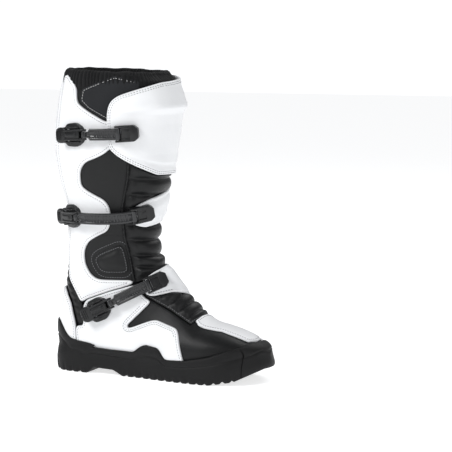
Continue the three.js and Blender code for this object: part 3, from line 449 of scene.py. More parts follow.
class Panel:
    """A cut panel laid on the last. Its height rises from its rim as a quarter ellipse of the edge's
    width, and a relief may be added: a function of side-view x and z, the turn in degrees and the
    distance from the rim. Where it runs below other panels it is pressed flat. The mesh is a
    constrained triangulation of its unrolled shape, closed below."""

    def __init__(self, name, loop, material, body, base=0.2, thick=3.0, edge=1.6, relief=None,
                 grid=2.6, seams=(), below=(), replaces=(), slot=None):
        self.name, self.loop, self.base, self.thick, self.edge = name, loop, base, thick, edge
        self.relief, self.body, self.below = relief, body, below
        self.rim = skin(loop)
        rings = [edge * share for share in (0.06, 0.25, 0.6, 1.0)]
        rings += [seam + side for seam in seams for side in (-0.8, 0, 0.8)]
        self.seams = seams
        rows = [loop] + [inset(loop, ring) for ring in rings]
        low, high = loop.min(0), loop.max(0)
        hexagon = np.stack(np.meshgrid(np.arange(low[0], high[0], grid * 0.87),
                                       np.arange(low[1], high[1], grid), indexing="ij"), -1)
        hexagon[::2, :, 1] += grid / 2
        inner = hexagon.reshape(-1, 2)
        inner = inner[inside(inner, loop)]
        clear = self.depth(inner) > max(rings) + grid * 0.5
        rows.append(inner[clear])
        points = np.concatenate(rows)
        count = len(loop)
        made = delaunay_2d_cdt([Vector(p) for p in points], [(i, (i + 1) % count) for i in range(count)],
                               [], 1, 1e-5)
        sheet = np.array([tuple(v) for v in made[0]])
        faces = np.array(made[2])
        on_rim = np.array([bool(ids) and min(ids) < count for ids in made[3]])
        depth = np.where(on_rim, 0, self.depth(sheet))
        top = self.at(sheet, depth)
        under = skin(sheet) + outward(sheet) * base
        lower = np.where(on_rim, np.arange(len(sheet)), len(sheet) + np.arange(len(sheet)))
        facing = np.cross(top[faces[:, 1]] - top[faces[:, 0]], top[faces[:, 2]] - top[faces[:, 0]])
        if (facing * outward(sheet[faces[:, 0]])).sum() < 0:
            faces = faces[:, ::-1]
        every = np.concatenate([faces, lower[faces[:, ::-1]]])
        used, compact = np.unique(every, return_inverse=True)
        points = np.concatenate([top, under])[used]
        self.object = make_object(name, points, compact.reshape(-1, 3), material, body, replaces)

    def depth(self, sheet):
        """Distance in space from the rim."""
        return nearest(skin(sheet), self.rim)

    def at(self, sheet, depth, lift=0.0):
        """Points on the panel's top."""
        share = np.clip(depth / self.edge, 0, 1)
        height = self.thick * np.sqrt(1 - (1 - share)**2)
        places = skin(sheet)
        for seam in self.seams:
            height = height - 0.35 * np.exp(-((depth - seam) / 0.6)**2) * share
        if self.relief is not None:
            relief = self.relief(places[:, 0], places[:, 2], sheet[:, 1] / TURN, depth) * share
            height = height + relief * (1 - covered(sheet, self.below))
        return places + outward(sheet) * (self.base + height + lift)[:, None]

    def stitch(self, distance, thread, keep=None, pitch=3.3):
        """Stitches along a line inside the rim."""
        line = inset(self.loop, distance)
        self.stitch_line(line, distance, thread, keep, pitch, f"{self.name}_stitches_{distance:g}")

    def stitch_line(self, line, distance, thread, keep=None, pitch=3.3, name=None):
        length, radius = pitch * 0.72, 0.36
        places = skin(line)
        run = np.concatenate([[0], np.cumsum(np.linalg.norm(np.diff(places, axis=0), axis=1))])
        marks = np.arange(pitch / 2, run[-1], pitch)
        sheet = np.stack([np.interp(marks, run, line[:, k]) for k in (0, 1)], -1)
        ahead = np.stack([np.interp(marks + 0.5, run, line[:, k]) for k in (0, 1)], -1)
        if keep is not None:
            held = keep(*skin(sheet)[:, ::2].T, sheet[:, 1] / TURN)
            sheet, ahead = sheet[held], ahead[held]
        depth = np.full(len(sheet), distance) if distance else self.depth(sheet)
        seat, along = self.at(sheet, depth, 0.12), unit(skin(ahead) - skin(sheet))
        up = outward(sheet)
        across = unit(np.cross(up, along))
        ring = np.linspace(0, 2 * np.pi, 6, endpoint=False)
        stations = np.array([-0.5, -0.38, 0, 0.38, 0.5]) * length
        width = np.array([0.25, 0.85, 1, 0.85, 0.25]) * radius
        sink = np.array([-0.35, -0.08, 0, -0.08, -0.35])
        points = (seat[:, None, None] + along[:, None, None] * stations[:, None, None]
                  + across[:, None, None] * (width[:, None] * np.cos(ring))[..., None]
                  + up[:, None, None] * (width[:, None] * np.sin(ring) + sink[:, None])[..., None])
        count = len(seat)
        template = [(r * 6 + k, r * 6 + (k + 1) % 6, (r + 1) * 6 + (k + 1) % 6, (r + 1) * 6 + k)
                    for r in range(4) for k in range(6)]
        quads = (np.array(template)[None] + 30 * np.arange(count)[:, None, None]).reshape(-1, 4)
        ends = np.array([[5, 4, 3, 2, 1, 0], [24, 25, 26, 27, 28, 29]])
        ends = (ends[None] + 30 * np.arange(count)[:, None, None]).reshape(-1, 6)
        make_object(name, points.reshape(-1, 3), quads.tolist() + ends.tolist(), thread, self.body)

    def cord(self, name, line, radius, material, lift=0.0):
        """A round cord sewn along an open line on the panel: a ring of eight carried along it."""
        line = resampled(line, 1.6, closed=False)
        depth = self.depth(line)
        centre, up = self.at(line, depth, lift), outward(line)
        along = unit(np.gradient(centre, axis=0))
        across = unit(np.cross(up, along))
        ring = np.linspace(0, 2 * np.pi, 8, endpoint=False)
        taper = np.sqrt(np.clip(np.minimum(np.arange(len(line)), np.arange(len(line))[::-1]) / 2, 0.05, 1))
        points = centre[:, None] + radius * taper[:, None, None] * (
            across[:, None] * np.cos(ring)[:, None] + up[:, None] * np.sin(ring)[:, None])
        n = len(line)
        faces = [(r * 8 + k, r * 8 + (k + 1) % 8, (r + 1) * 8 + (k + 1) % 8, (r + 1) * 8 + k)
                 for r in range(n - 1) for k in range(8)]
        faces += [tuple(range(7, -1, -1)), tuple((n - 1) * 8 + k for k in range(8))]
        return make_object(name, points.reshape(-1, 3), faces, material, self.body)


def leather_panel(node, loop, body, thick=2.2, edge=0.8, **more):
    """A leather panel in place of a CAD node, with its flesh side on the lining."""
    return Panel(f"{node}_skin", loop, LEATHER, body, -2.2, thick, edge, replaces=[node],
                 slot="black_leather", **more)


def guard_panel(node, loop, body, base, thick, edge, **more):
    """A white moulding in place of a CAD node."""
    return Panel(f"{node}_moulding", loop, WHITE, body, base, thick, edge, replaces=[node],
                 slot="white_guard", **more)


def rolls(along, creases, height):
    """Padded rolls between creases: each swells by a power of the distance from its middle."""
    creases = np.sort(np.asarray(creases, float))
    i = np.clip(np.searchsorted(creases, along) - 1, 0, len(creases) - 2)
    share = np.clip((along - creases[i]) / (creases[i + 1] - creases[i]), 0, 1)
    return height * (1 - np.abs(2 * share - 1)**2.6)


def swell(value, low, high):
    """0 below low and 1 above high, with a smooth step between."""
    share = np.clip((value - low) / (high - low), 0, 1)
    return share * share * (3 - 2 * share)


# ---- Shaft leather ----
# Full-grain cowhide panels, skived and seamed up the shin, that carry everything on the leg.
BACK = [(-21, 367.6), (-29, 322), (-29, 286), (-22, 252), (-13, 221), (-12, 184)]
SHIN_OUT = [(84, 296), (91, 283), (88, 257), (79, 220), (78, 181)]
SHIN_IN = [(84, 296), (90, 283), (88, 262), (75, 228), (60, 193)]
leather_panel("lateral_shaft_leather", outline(
    ("out", [*BACK, *SHIN_OUT[::-1], (84, 367.6)]), corner=0.5), "shaft")
calf_leather = leather_panel("medial_calf_panel", outline(
    ("in", [*BACK, *SHIN_IN[::-1], (84, 367.6)]), corner=0.5), "shaft")
calf_leather.stitch(3.0, PALE_THREAD, keep=lambda x, z, turn: z > 358)
calf_leather.stitch(5.6, PALE_THREAD, keep=lambda x, z, turn: z > 358)
leather_panel("shin_pad", outline(
    ("out", [(84.4, 367.6), (84.4, 296.4)]), ("in", [(84.4, 296.4), (84.4, 367.6)]), corner=0.5),
    "shaft")

# ---- Shin bellows ----
# Foam rolls quilted between leather and lining, so that the shin folds forward without kinking.
CREASES = [296, 277, 256, 235, 214, 195, 175, 155, 141, 126, 112]


def shin_rolls(x, z, turn, depth):
    tilted = z + 0.10 * (x - 104)
    return rolls(tilted, CREASES, 5.0) * swell(depth, 0, 13) - 0.4


lower_wing_loop = outline(
    ("out", [(121, 141), (113, 136.4), (99, 124), (105, 107), (113, 104.5), (124, 107), (143, 111),
             (152, 104)]),
    ("in", [(151, 101), (142.5, 92.4), (99.2, 137.2), (112, 142), (119, 142)]), corner=4)
mid_wing_loop = outline(
    ("out", [(117, 236), (105, 229), (93, 221), (88, 212), (89, 197), (102, 192), (109, 194)]),
    ("in", [(109, 195), (68, 207), (88, 250), (117, 238)]), corner=5)
shin_guard_loop = outline(
    ("out", [(126, 379), (112, 373), (80, 362), (70, 354), (66, 340), (67, 297), (75, 288), (90, 278),
             (109, 267), (119, 258)]),
    ("in", [(119, 257), (89, 275), (83, 289), (84, 331), (86, 366), (93, 382), (103, 386), (124, 381)]),
    corner=9)
shin_bellows = leather_panel("shin_bellows", outline(
    ("out", [*SHIN_OUT, (84, 150), (90, 121), (99, 124)]),
    ("in", [(96, 136), (86, 140), (68, 165), *SHIN_IN[::-1]]), corner=0.5),
    "ankle", edge=0.9, relief=shin_rolls, grid=2.0,
    below=[lower_wing_loop, mid_wing_loop, shin_guard_loop])
shin_bellows.cord("front_seam_piping", locate(resampled(rounded(
    [(84, 300), *SHIN_OUT, (84, 150), (90, 121)], 6, False), 2, False), "out"), 1.3, LEATHER, 2.4)

# ---- Ankle leather ----
# Softer leather that bends with the ankle, with a padded oval over the outer ankle bone.
ankle_out = leather_panel("lateral_ankle_leather", outline(
    ("out", [(-13, 184), (78.4, 184), (77.6, 181), (83.6, 150), (89.4, 121), (58, 109), (23, 95),
             (17, 91.5), (5.4, 110.4), (-4.6, 122), (-7.6, 168), (-14, 170)]), corner=0.5),
    "ankle")
leather_panel("medial_ankle_leather", outline(
    ("in", [(-13, 184), (63, 184), (67.6, 165), (85.4, 140.4), (86, 130), (20, 150), (14, 130), (4, 113),
            (-9, 150), (-10, 168), (-14, 170)]), corner=0.5),
    "ankle")

# ---- Heel bellows ----
# A narrow stretch panel up the tendon, ribbed across, between the heel cup and the leg.
leather_panel("heel_bellows", outline(
    ("out", [(-14, 169), (-8, 168), (-5, 122), (5, 110), (17, 91), (19, 64), (10, 65), (1, 92), (-12, 111),
             (-24, 113)]),
    ("in behind", [(-24, 113), (-12, 111), (2, 90), (12, 65), (22, 64), (20, 90), (6, 112), (-9, 150),
                   (-10, 168), (-14, 169)]), corner=1.0),
    "ankle",
    relief=lambda x, z, turn, depth: rolls(z, np.arange(60, 186, 9.0), 1.5) * swell(depth, 0, 6),
    grid=1.8)

# ---- Vamp and instep bellows ----
# The leather foot, lasted under the sole, and the quilted wedge that lets the instep flex.
vamp_out = [(14, 34), (17, 88), (23, 94.6), (58, 108.6), (90, 120.4), (98.6, 122), (103.6, 105), (118, 97.6),
            (139, 87.6), (167.6, 71.6)]
vamp_in = [(168.4, 71.4), (152, 83.6), (140, 95.6), (96.6, 135), (86, 129.4), (20, 149.4), (14, 125),
           (4, 113), (12, 34)]
foot_end = np.stack([np.full(60, s_table[-1] - 9.0), np.linspace(-146, 146, 60) * TURN], 1)
vamp_loop = resampled(np.concatenate([
    locate(resampled(np.array(vamp_out, float), 2, False), "out"),
    locate(resampled(np.array(vamp_in, float), 2, False), "in"),
    locate(resampled(np.array([(12, 34), (60, 24), (120, 20), (170, 18), (225, 24)], float), 3, False), "in"),
    foot_end,
    locate(resampled(np.array([(225, 24), (170, 18), (120, 20), (60, 24), (14, 34)], float), 3, False),
           "out")]), 1.4)
leather_panel("vamp", vamp_loop, "foot")


def instep_rolls(x, z, turn, depth):
    along = (x - 99) * 0.80 - (z - 122) * 0.60
    return rolls(along, [-12, 2, 16, 31, 46, 61, 76, 92, 110], 3.4) * swell(depth, 0, 9) + 0.3


instep = leather_panel("instep_bellows", outline(
    ("out", [(99, 122), (104, 105), (118, 98), (139, 88), (168, 72)]),
    ("in", [(168, 72), (152, 84), (140, 96), (97, 135)]), corner=1.0),
    "foot", 2.4, 0.9, relief=instep_rolls, grid=1.8, below=[lower_wing_loop])
instep.stitch(2.4, GREY_THREAD, keep=lambda x, z, turn: turn > 5)

# ---- Shaft frame ----
# The white outer frame is one moulding that the buckles are riveted to, sewn down along its rim.
frame_loop = outline(("out", [
    (-4, 386), (-10, 350), (-14, 310), (-13, 280), (-8, 250), (-3, 222), (0, 190), (-5, 168), (-6, 150),
    (-4, 123), (5, 111), (17, 92), (23, 97), (58, 110), (89, 120), (88, 125), (42, 124), (31, 130), (23, 144),
    (22, 160), (29, 173), (45, 182), (58, 188), (62, 197), (64, 210), (62, 221), (56, 229), (38, 237),
    (24, 245), (24, 266), (33, 277), (48, 282), (62, 289), (68, 295), (84, 300), (84, 330), (64, 328),
    (37, 342), (21, 352), (20, 372), (4, 387)]), corner=7)
shaft_frame = Panel("lateral_frame_moulding", frame_loop, WHITE, "ankle", 0.2, 2.8, 1.6, seams=(3.4,),
                    replaces=["lateral_shaft_frame", "lateral_ankle_frame"], slot="white_guard")
shaft_frame.stitch(3.4, GREY_THREAD)

# ---- Calf plate ----
# The white back of the shaft, from the heel bellows to the collar.
calf_plate = guard_panel("calf_plate", outline(
    ("out", [(-8, 388), (-11, 350), (-15, 310), (-14, 280), (-9, 250), (-4, 222), (-1, 190), (-6, 173),
             (-13, 171)]),
    ("in behind", [(-13, 171), (0, 173), (4, 192), (-8, 232), (-10, 272), (-5, 320), (-3, 350), (-3, 380),
                   (-6, 388)]), corner=5), "shaft", 0.2, 2.8, 1.6, seams=(3.0, 6.0))
calf_plate.stitch(3.0, GREY_THREAD)
calf_plate.stitch(6.0, GREY_THREAD)

# ---- Heel counter and foot guards ----
# Stiff white mouldings over the heel and both sides of the foot, tucked into the cup sole.
heel_counter = guard_panel("heel_counter", outline(
    ("out", [(-22, 110), (-12, 107), (0, 90), (7.6, 64), (7.6, 30), (-20, 34)]),
    ("in behind", [(-20, 34), (9.6, 30), (9.6, 63), (1, 88), (-12, 107), (-22, 110)]), corner=3),
    "foot", 0.2, 3.0, 1.6, seams=(3.0,))
heel_counter.stitch(3.0, GREY_THREAD)
outer_guard = guard_panel("lateral_foot_guard", outline(("out", [
    (8.4, 26), (8.4, 62), (20, 62), (20, 88), (24, 96.3), (58, 109.3), (90, 119), (103, 104), (113, 98),
    (98, 82), (83, 67), (85, 63), (116, 75), (124, 76), (152, 67), (156, 61), (167, 25), (120, 20),
    (60, 22)]), corner=4), "foot", 0.2, 3.0, 1.7, seams=(3.2,), grid=2.4)
outer_guard.stitch(3.2, GREY_THREAD)
outer_guard.stitch(5.6, GREY_THREAD, keep=lambda x, z, turn: (z < 92) & (z > 56) & (x > 74))

INSET = np.array([(40, 126), (60, 128), (92, 117), (126, 86), (124, 68), (70, 83), (54, 98)], float)


def to_line(x, z, line):
    """Signed distance from a convex outline drawn in the side view, positive inside."""
    points = np.stack([x, z], -1)
    ahead = np.roll(line, -1, axis=0)
    way = (ahead - line) / np.linalg.norm(ahead - line, axis=1, keepdims=True)
    clockwise = np.stack([way[:, 1], -way[:, 0]], 1)
    return ((points[:, None] - line[None]) * clockwise[None]).sum(-1).min(1)


def inner_guard_relief(x, z, turn, depth):
    """A raised frame round a sunk field."""
    near = to_line(x, z, INSET)
    return 1.3 * swell(near, -7.5, -5.5) - 2.2 * swell(near, -1.4, 0.2)


inner_guard = guard_panel("medial_foot_guard", outline(("in", [
    (10.4, 26), (10.4, 62), (24, 62), (22, 92), (8, 113), (-6, 150), (-4, 160), (12, 165), (86, 139),
    (94, 133), (140, 90), (153, 70), (162, 64), (176, 70), (195, 62), (215, 58), (242, 46), (246, 30),
    (200, 18), (120, 20), (60, 22)]), corner=5), "foot", 0.2, 3.0, 1.7, relief=inner_guard_relief, grid=1.7,
    seams=(3.0, 6.0))
inner_guard.stitch(3.0, GREY_THREAD)
inner_guard.stitch(6.0, GREY_THREAD, keep=lambda x, z, turn: z > 60)
Panel("medial_guard_field", outline(("in", INSET), corner=2), WHITE, "foot", 1.4, 1.0, 0.6, grid=0.9,
      relief=lambda x, z, turn, depth: 0.7 * swell(depth, 0.8, 1.8) * np.clip(
          np.sin(x * 1.9 + z * 0.6) * np.sin(z * 2.0 - x * 0.5), -0.1, 1))

# ---- Toe patch ----
# A rubbery white patch where the shift lever rubs, pressed with small pips.
toe_patch = guard_panel("toe_patch", outline(
    ("out", [(174, 73), (176, 70.5), (184, 67), (215, 62), (230, 57.5)]),
    ("turn", [(18.0, 28), (18.35, 10), (18.35, -14), (18.0, -31), (17, -37), (16, -38), (15, -36),
              (14.4, -27), (14.0, -8), (13.95, 12), (14.05, 30)]), corner=3), "foot", 0.3, 2.9, 1.6,
    grid=1.1,
    relief=lambda x, z, turn, depth: 0.45 * swell(depth, 5, 6.5) * np.clip(
        np.sin(x * 2.1) * np.sin(turn * 1.15), 0, 1), seams=(3.0,))
toe_patch.stitch(3.0, GREY_THREAD)

# ---- Strap wings ----
# White tongues hinged at the inner side, which the straps pull over the shin and the instep.
lower_wing = guard_panel("lower_wing", lower_wing_loop, "lower_wing", 1.0, 3.0, 1.7, seams=(3.0,),
    relief=lambda x, z, turn, depth: 2.2 * swell(depth, 2, 12) * swell(60 - np.abs(turn), 0, 30))
lower_wing.stitch(3.0, GREY_THREAD, keep=lambda x, z, turn: turn > 20)
mid_wing = guard_panel("mid_wing", mid_wing_loop, "mid_wing", 1.0, 3.0, 1.7, seams=(4.4,),
    relief=lambda x, z, turn, depth: 3.0 * swell(depth, 2, 14) * swell(60 - np.abs(turn), 0, 30))
mid_wing.stitch(4.4, GREY_THREAD, keep=lambda x, z, turn: (turn < -40) & (x < 88))

# ---- Shin guard ----
# The big hinged shell below the knee, with a sharp fold across its swell and a doubled rim.
RIDGE = np.array([(250, -3.2), (258, -1.6), (275, -1.6), (284, -2.6), (288, -3.2), (305, -3.6), (325, -3.4),
                  (338, -1.6), (346, 3.0), (350, 2.6), (358, 0.2), (372, -2.4), (392, -3.4)])


def guard_relief(x, z, turn, depth):
    """The height over the shin by level, fading round to the sides. The fold climbs towards the front,
    and the rim is a flat raised band."""
    round_it = np.clip((78 - np.abs(turn)) / 46, 0, 1)
    fold = np.interp(z - 0.06 * (x - 128), *RIDGE.T) * round_it
    brow = 0.9 * swell(z - 0.06 * (x - 128), 341, 344) * swell(turn, 40, 60) * swell(depth, 8, 20)
    chin = 1.2 * swell(283 - z - 0.36 * (x - 102), -1, 1) * swell(depth, 6, 12)
    return fold + brow - chin + 0.7 * swell(6.4 - depth, 0, 0.9)


shin_guard = guard_panel("shin_guard", shin_guard_loop, "shin_guard", 3.8, 4.0, 1.9,
                   relief=guard_relief, grid=1.9, seams=(2.6, 4.9))
shin_guard.stitch(2.6, GREY_THREAD)
shin_guard.stitch(4.9, GREY_THREAD)


# ---- Woven panels ----
# A charcoal tab at the collar and a stretch mesh over the inner calf, both with light thread.
def woven_finish(name, low, high, scale, depth):
    """Two sets of bands at right angles, as threads over and under."""
    finish = Finish(name)
    warp, weft = (finish.node("ShaderNodeTexWave", {"bands_direction": way},
                              {"Vector": finish.place, "Scale": scale, "Distortion": 0.4}) for way in "XZ")
    weave = warp * weft
    finish.set(Base_Color=finish.fade(low, high, weave + finish.noise(60) * 0.3), Roughness=0.8,
               Specular_IOR_Level=0.25)
    finish.bump(weave, depth)
    return finish.material


CHARCOAL = woven_finish("charcoal weave", (0.010, 0.0105, 0.012), (0.030, 0.032, 0.036), 420, 0.0003)
collar_flap = Panel("collar_flap_weave", outline(("out", [
    (26, 354), (29, 370), (50, 378), (74, 387), (104, 380), (104, 352), (85, 352), (85, 331), (66, 329.5),
    (38, 343.5)]), corner=3), CHARCOAL, "shaft", 0.3, 2.0, 1.0, seams=(3.0,),
    replaces=["collar_flap"], slot="charcoal_fabric")
collar_flap.stitch(3.0, PALE_THREAD, keep=lambda x, z, turn: x < 98, pitch=3.6)


def mesh_relief(x, z, turn, depth):
    """Small raised diamonds inside a flat border and a thin raised frame."""
    diamonds = np.clip(np.sin(x * 1.5 + z * 0.85) * np.sin(x * 1.5 - z * 0.85), 0, 1)
    return 0.55 * diamonds * swell(depth, 4, 5) + 0.7 * np.exp(-((depth - 2.6) / 0.9)**2)


Panel("medial_mesh_panel_weave", outline(("in", [
    (22, 359), (77, 359), (75, 262), (48, 202), (18, 262)]), corner=6), CHARCOAL, "shaft", 0.2, 1.0, 0.8,
    relief=mesh_relief, grid=1.5, replaces=["medial_mesh_panel"], slot="charcoal_fabric")

# ---- Ankle pad ----
# The inset pad over the outer ankle bone: a piped and twice sewn cushion of smoother leather.
pad_loop = outline(("out", [(75, 172), (41, 157), (36, 150), (42, 137), (50, 132), (83, 133), (80, 152)]),
                   corner=8)
ankle_pad = Panel("ankle_pad_cushion", pad_loop, LEATHER, "ankle", 0.1, 1.2, 1.0,
                  relief=lambda x, z, turn, depth: 1.9 * swell(depth, 4.6, 12) - 1.1 * np.exp(
                      -((depth - 4.4) / 1.0)**2), replaces=["ankle_pad"], slot="black_leather")
ankle_pad.stitch(2.2, GREY_THREAD)
ankle_out.stitch_line(inset(pad_loop, -5), 0, GREY_THREAD, name="ankle_band_stitches")


# ---- Collar ----
# An elasticated knit cuff, gathered into upright ribs and rolled inwards at the rim.
def ring_grid(name, rings, material, body, replaces=()):
    """A closed tube-like band: rows of points round the leg, joined row to row and last to first."""
    rows, columns = rings.shape[:2]
    r, c = np.meshgrid(np.arange(rows), np.arange(columns), indexing="ij")
    r1, c1 = (r + 1) % rows, (c + 1) % columns
    faces = np.stack([r * columns + c, r * columns + c1, r1 * columns + c1, r1 * columns + c], -1)
    return make_object(name, rings.reshape(-1, 3), faces.reshape(-1, 4), material, body, replaces)


def knit_finish():
    """Ribbed knit: upright wales by the turn round the leg are geometry; these are the stitches."""
    finish = Finish("black knit")
    rows = finish.node("ShaderNodeTexWave", {"bands_direction": "Z"},
                       {"Vector": finish.place, "Scale": 260, "Distortion": 3.0, "Detail": 2.0})
    finish.set(Base_Color=finish.fade((0.003, 0.003, 0.0034), (0.013, 0.0135, 0.0145),
                                      rows * 0.6 + finish.noise(90) * 0.4), Roughness=0.92,
               Sheen_Weight=0.06, Sheen_Roughness=0.5, Specular_IOR_Level=0.2)
    finish.bump(rows + finish.noise(900), 0.0006)
    return finish.material


KNIT = knit_finish()
turns = np.linspace(0, 360, 900, endpoint=False)
wobble = 0.5 * np.sin(np.radians(turns) * 7 + 0.8) + 0.35 * np.sin(np.radians(turns) * 17 + 2.0)
wales = np.abs(np.sin(np.radians(turns) * 42 + wobble * 1.6))**0.7
profile = [(366, -2.4), (366.5, 0.2), (371, 0.8), (376, 1.5), (382, 2.1), (389, 1.8), (393, 0.2),
           (395, -2.6), (394.4, -5.8), (391, -7.6), (383, -7.8), (374, -7.2), (368, -6.8)]
heights = resampled(np.array(profile, float), 1.1, closed=True)
collar_rings = []
for level, out in heights:
    drop = 4.0 * swell(level, 372, 392) * (1 + np.cos(np.radians(turns))) / 2
    bunch = swell(level, 369, 378)
    u = np.interp(392 - (level - drop), [0, 32], [0, 1])
    at = skin_at(u, turns)
    normal = unit(at - [55, 0, 0]) * [1, 1, 0]
    round_off = 9.0 * swell(level, 374, 392)**2 * swell(np.cos(np.radians(turns)), 0.5, 1)
    lift = out - round_off + bunch * (1.7 * wales - 0.7 + 0.8 * wobble * swell(level, 376, 390))
    ring = at + unit(normal) * lift[:, None]
    ring[:, 2] = level - drop + 0.8 * wobble * swell(level, 380, 391)
    collar_rings.append(ring)
ring_grid("collar_knit", np.array(collar_rings)[::-1], KNIT, "shaft", ["collar"])


# ---- Linings ----
# Brushed textile over foam: one sleeve in the leg, one in the ankle and a sock in the foot.
LINING_FROM, LINING_TO = -4.2, -6.8        # its two faces, from the last


def sleeve(name, first, last, body, node):
    """A band between two offsets inside the last, quilted by shallow waves."""
    down = np.linspace(first, last, 40)
    levels = [(u, LINING_FROM) for u in down] + [(u, LINING_TO) for u in down[::-1]]
    around = np.linspace(0, 360, 160, endpoint=False)
    rings = []
    for u, out in levels:
        sheet = np.stack([np.full(len(around), np.interp(u, u_table, s_table)), around * TURN], 1)
        soft = 0.3 * np.sin(np.radians(around) * 24) * (out < -5)
        rings.append(skin(sheet) + outward(sheet) * (out + soft)[:, None])
    made = ring_grid(name, np.array(rings), LINING, body, [node])


LINING = woven_finish("lining", (0.014, 0.014, 0.016), (0.035, 0.036, 0.040), 300, 0.0004)
sleeve("leg_lining_sleeve", 0.85, 6.55, "shaft", "leg_lining")
sleeve("ankle_lining_sleeve", 6.62, 9.2, "ankle", "ankle_lining")
sleeve("foot_lining_sock", 9.28, 18.4, "foot", "foot_lining")


# ---- Sole ----
# A one-piece rubber cup: straight wall low down, hugging the foot higher up, lugs and a heel step,
# with a separate harder cap at the toe.
PLAN = np.array([
    [-31, 0], [-29, -19], [-20, -31], [0, -38], [45, -40], [90, -43], [130, -49], [170, -54], [205, -53],
    [235, -42], [256, -20], [265, 5], [260, 28], [240, 45], [205, 54], [170, 51], [120, 44], [60, 40],
    [0, 38], [-20, 31], [-29, 19]], float)
TOP_OUT = np.array([(-24, 67), (-18, 58), (-11, 45), (14, 36), (58, 34), (94, 34), (104, 42), (111, 45),
                    (130, 42), (140, 28), (167, 29), (202, 36), (240, 47), (262, 52)], float)
TOP_IN = np.array([(-24, 67), (-18, 56), (-8, 45), (30, 42), (83, 40), (136, 26), (177, 21), (210, 25),
                   (234, 35), (241, 43), (262, 50)], float)
BOTTOM = np.array([(-31, 3), (-22, 0), (24, 0), (33, 8), (62, 7), (76, 0), (200, 0), (232, 5), (262, 19)],
                  float)
LUG_PITCH, LUG_DEPTH = 11.5, 2.4


def closed_spline(points, count):
    """Catmull-Rom through a closed ring of points."""
    t = np.linspace(0, len(points), count, endpoint=False)
    i = np.floor(t).astype(int)
    f = (t - i)[:, None]
    p0, p1, p2, p3 = (points[(i + k) % len(points)] for k in (-1, 0, 1, 2))
    return 0.5 * (2 * p1 + (p2 - p0) * f + (2 * p0 - 5 * p1 + 4 * p2 - p3) * f**2
                  + (3 * p1 - p0 - 3 * p2 + p3) * f**3)


def ring_smooth(values, reach):
    """A circular moving average."""
    return np.mean([np.roll(values, k) for k in range(-reach, reach + 1)], axis=0)


plan = resampled(closed_spline(PLAN, 900), 1.0)
px, py = plan.T
ahead = unit(np.roll(plan, -1, axis=0) - np.roll(plan, 1, axis=0))
plan_out = np.stack([ahead[:, 1], -ahead[:, 0]], 1)
if (plan_out * (plan - [110, 0])).sum() < 0:
    plan_out = -plan_out
wall_top = ring_smooth(np.where(py < 0, np.interp(px, *TOP_OUT.T), np.interp(px, *TOP_IN.T)), 3)
wall_low = ring_smooth(np.interp(px, *BOTTOM.T), 2)
foot_u, foot_deg = np.meshgrid(np.linspace(9, 19.95, 500), np.linspace(-180, 180, 721), indexing="ij")
foot = skin_at(foot_u, foot_deg).reshape(-1, 3)
WALL = 6.3
CELL, CELLS, CELL_FROM = 2, 160, -40      # slots along the foot in which its widest place is kept
LEVELS = np.arange(38, 80)
contours = []
for level in LEVELS:
    near = foot[np.abs(foot[:, 2] - level) < 1.6, :2]
    ends = near[(near @ plan_out.T).argmax(0)] + plan_out * WALL
    reach = np.zeros((2, CELLS))
    cell = np.clip(((near[:, 0] - CELL_FROM) / CELL).astype(int), 0, CELLS - 1)
    np.maximum.at(reach, ((near[:, 1] > 0).astype(int), cell), np.abs(near[:, 1]))
    reach = np.max([np.roll(reach, k, axis=1) for k in (-3, -2, -1, 0, 1, 2, 3)], axis=0)
    sides = [np.interp((px - CELL_FROM) / CELL, np.arange(CELLS), row) for row in reach]
    side = np.column_stack([px, np.where(py > 0, sides[1] + WALL, -sides[0] - WALL)])
    share = np.maximum(swell(px, 196, 226), 1 - swell(px, -12, 18))[:, None]
    contour = side * (1 - share) + ends * share
    contours.append(np.column_stack([ring_smooth(contour[:, k], 7) for k in (0, 1)]))
contours = np.array(contours)


def wall_at(z):
    """The wall's plan at each column's own height: the drawn plan low down, and higher up the foot's
    own outline plus the wall. Round the heel and toe that outline is the foot's furthest point along
    the plan's outward way, and along the sides it is the foot's widest place."""
    level = np.clip(z, 38, LEVELS[-1] - 0.01) - LEVELS[0]
    low, part = np.floor(level).astype(int), (level % 1)[:, None]
    column = np.arange(len(px))
    hug = contours[low, column] * (1 - part) + contours[low + 1, column] * part
    share = swell(z, 20, 38)[:, None]
    return plan * (1 - share) + hug * share


groove = ((px + 18 + LUG_PITCH / 2) % LUG_PITCH < 3.4) & ((px < 22) | (px > 80)) & (px < 232)
groove_share = ring_smooth(groove.astype(float), 1)
rows = [(0.0, -16, 1), (0.0, -9, 1), (0.0, -2.2, 1), (0.02, -0.9, 1), (0.06, -0.3, 1), (0.12, 0.0, 0.9),
        (0.2, 0.1, 0.5), (0.26, 0.1, 0), (0.40, 0.1, 0), (0.50, 0.0, 0), (0.60, -0.1, 0), (0.66, -0.2, 0),
        (0.68, -0.9, 0), (0.71, -0.9, 0), (0.73, -0.2, 0), (0.80, -0.2, 0), (0.88, -0.3, 0),
        (0.95, -0.6, 0), (0.99, -1.3, 0), (1.0, -2.4, 0), (1.0, -4.6, 0), (0.95, -5.4, 0), (0.6, -6.2, 0)]
sole_rows = []
for share, out, cut in rows:
    tread = LUG_DEPTH * groove_share * cut * (1 - swell(np.full(len(px), share), 0.1, 0.24))
    z = wall_low + tread + (wall_top - wall_low - tread) * share
    notch = -1.0 * groove_share * cut * (share > 0.01)
    xy = wall_at(z) + plan_out * (out + notch)[:, None]
    sole_rows.append(np.column_stack([xy, z]))
middle_x = np.clip(px, 0, 236)
floor_row = np.column_stack([px * 0.86 + 14, py * 0.55, np.full(len(px), 14.0)])
ceiling = np.column_stack([middle_x, py * 0, np.full(len(px), 14.0)])
belly = np.column_stack([middle_x, py * 0, np.interp(middle_x, *BOTTOM.T) + 0.6])
sole_grid = np.array([belly, *sole_rows, floor_row, ceiling])
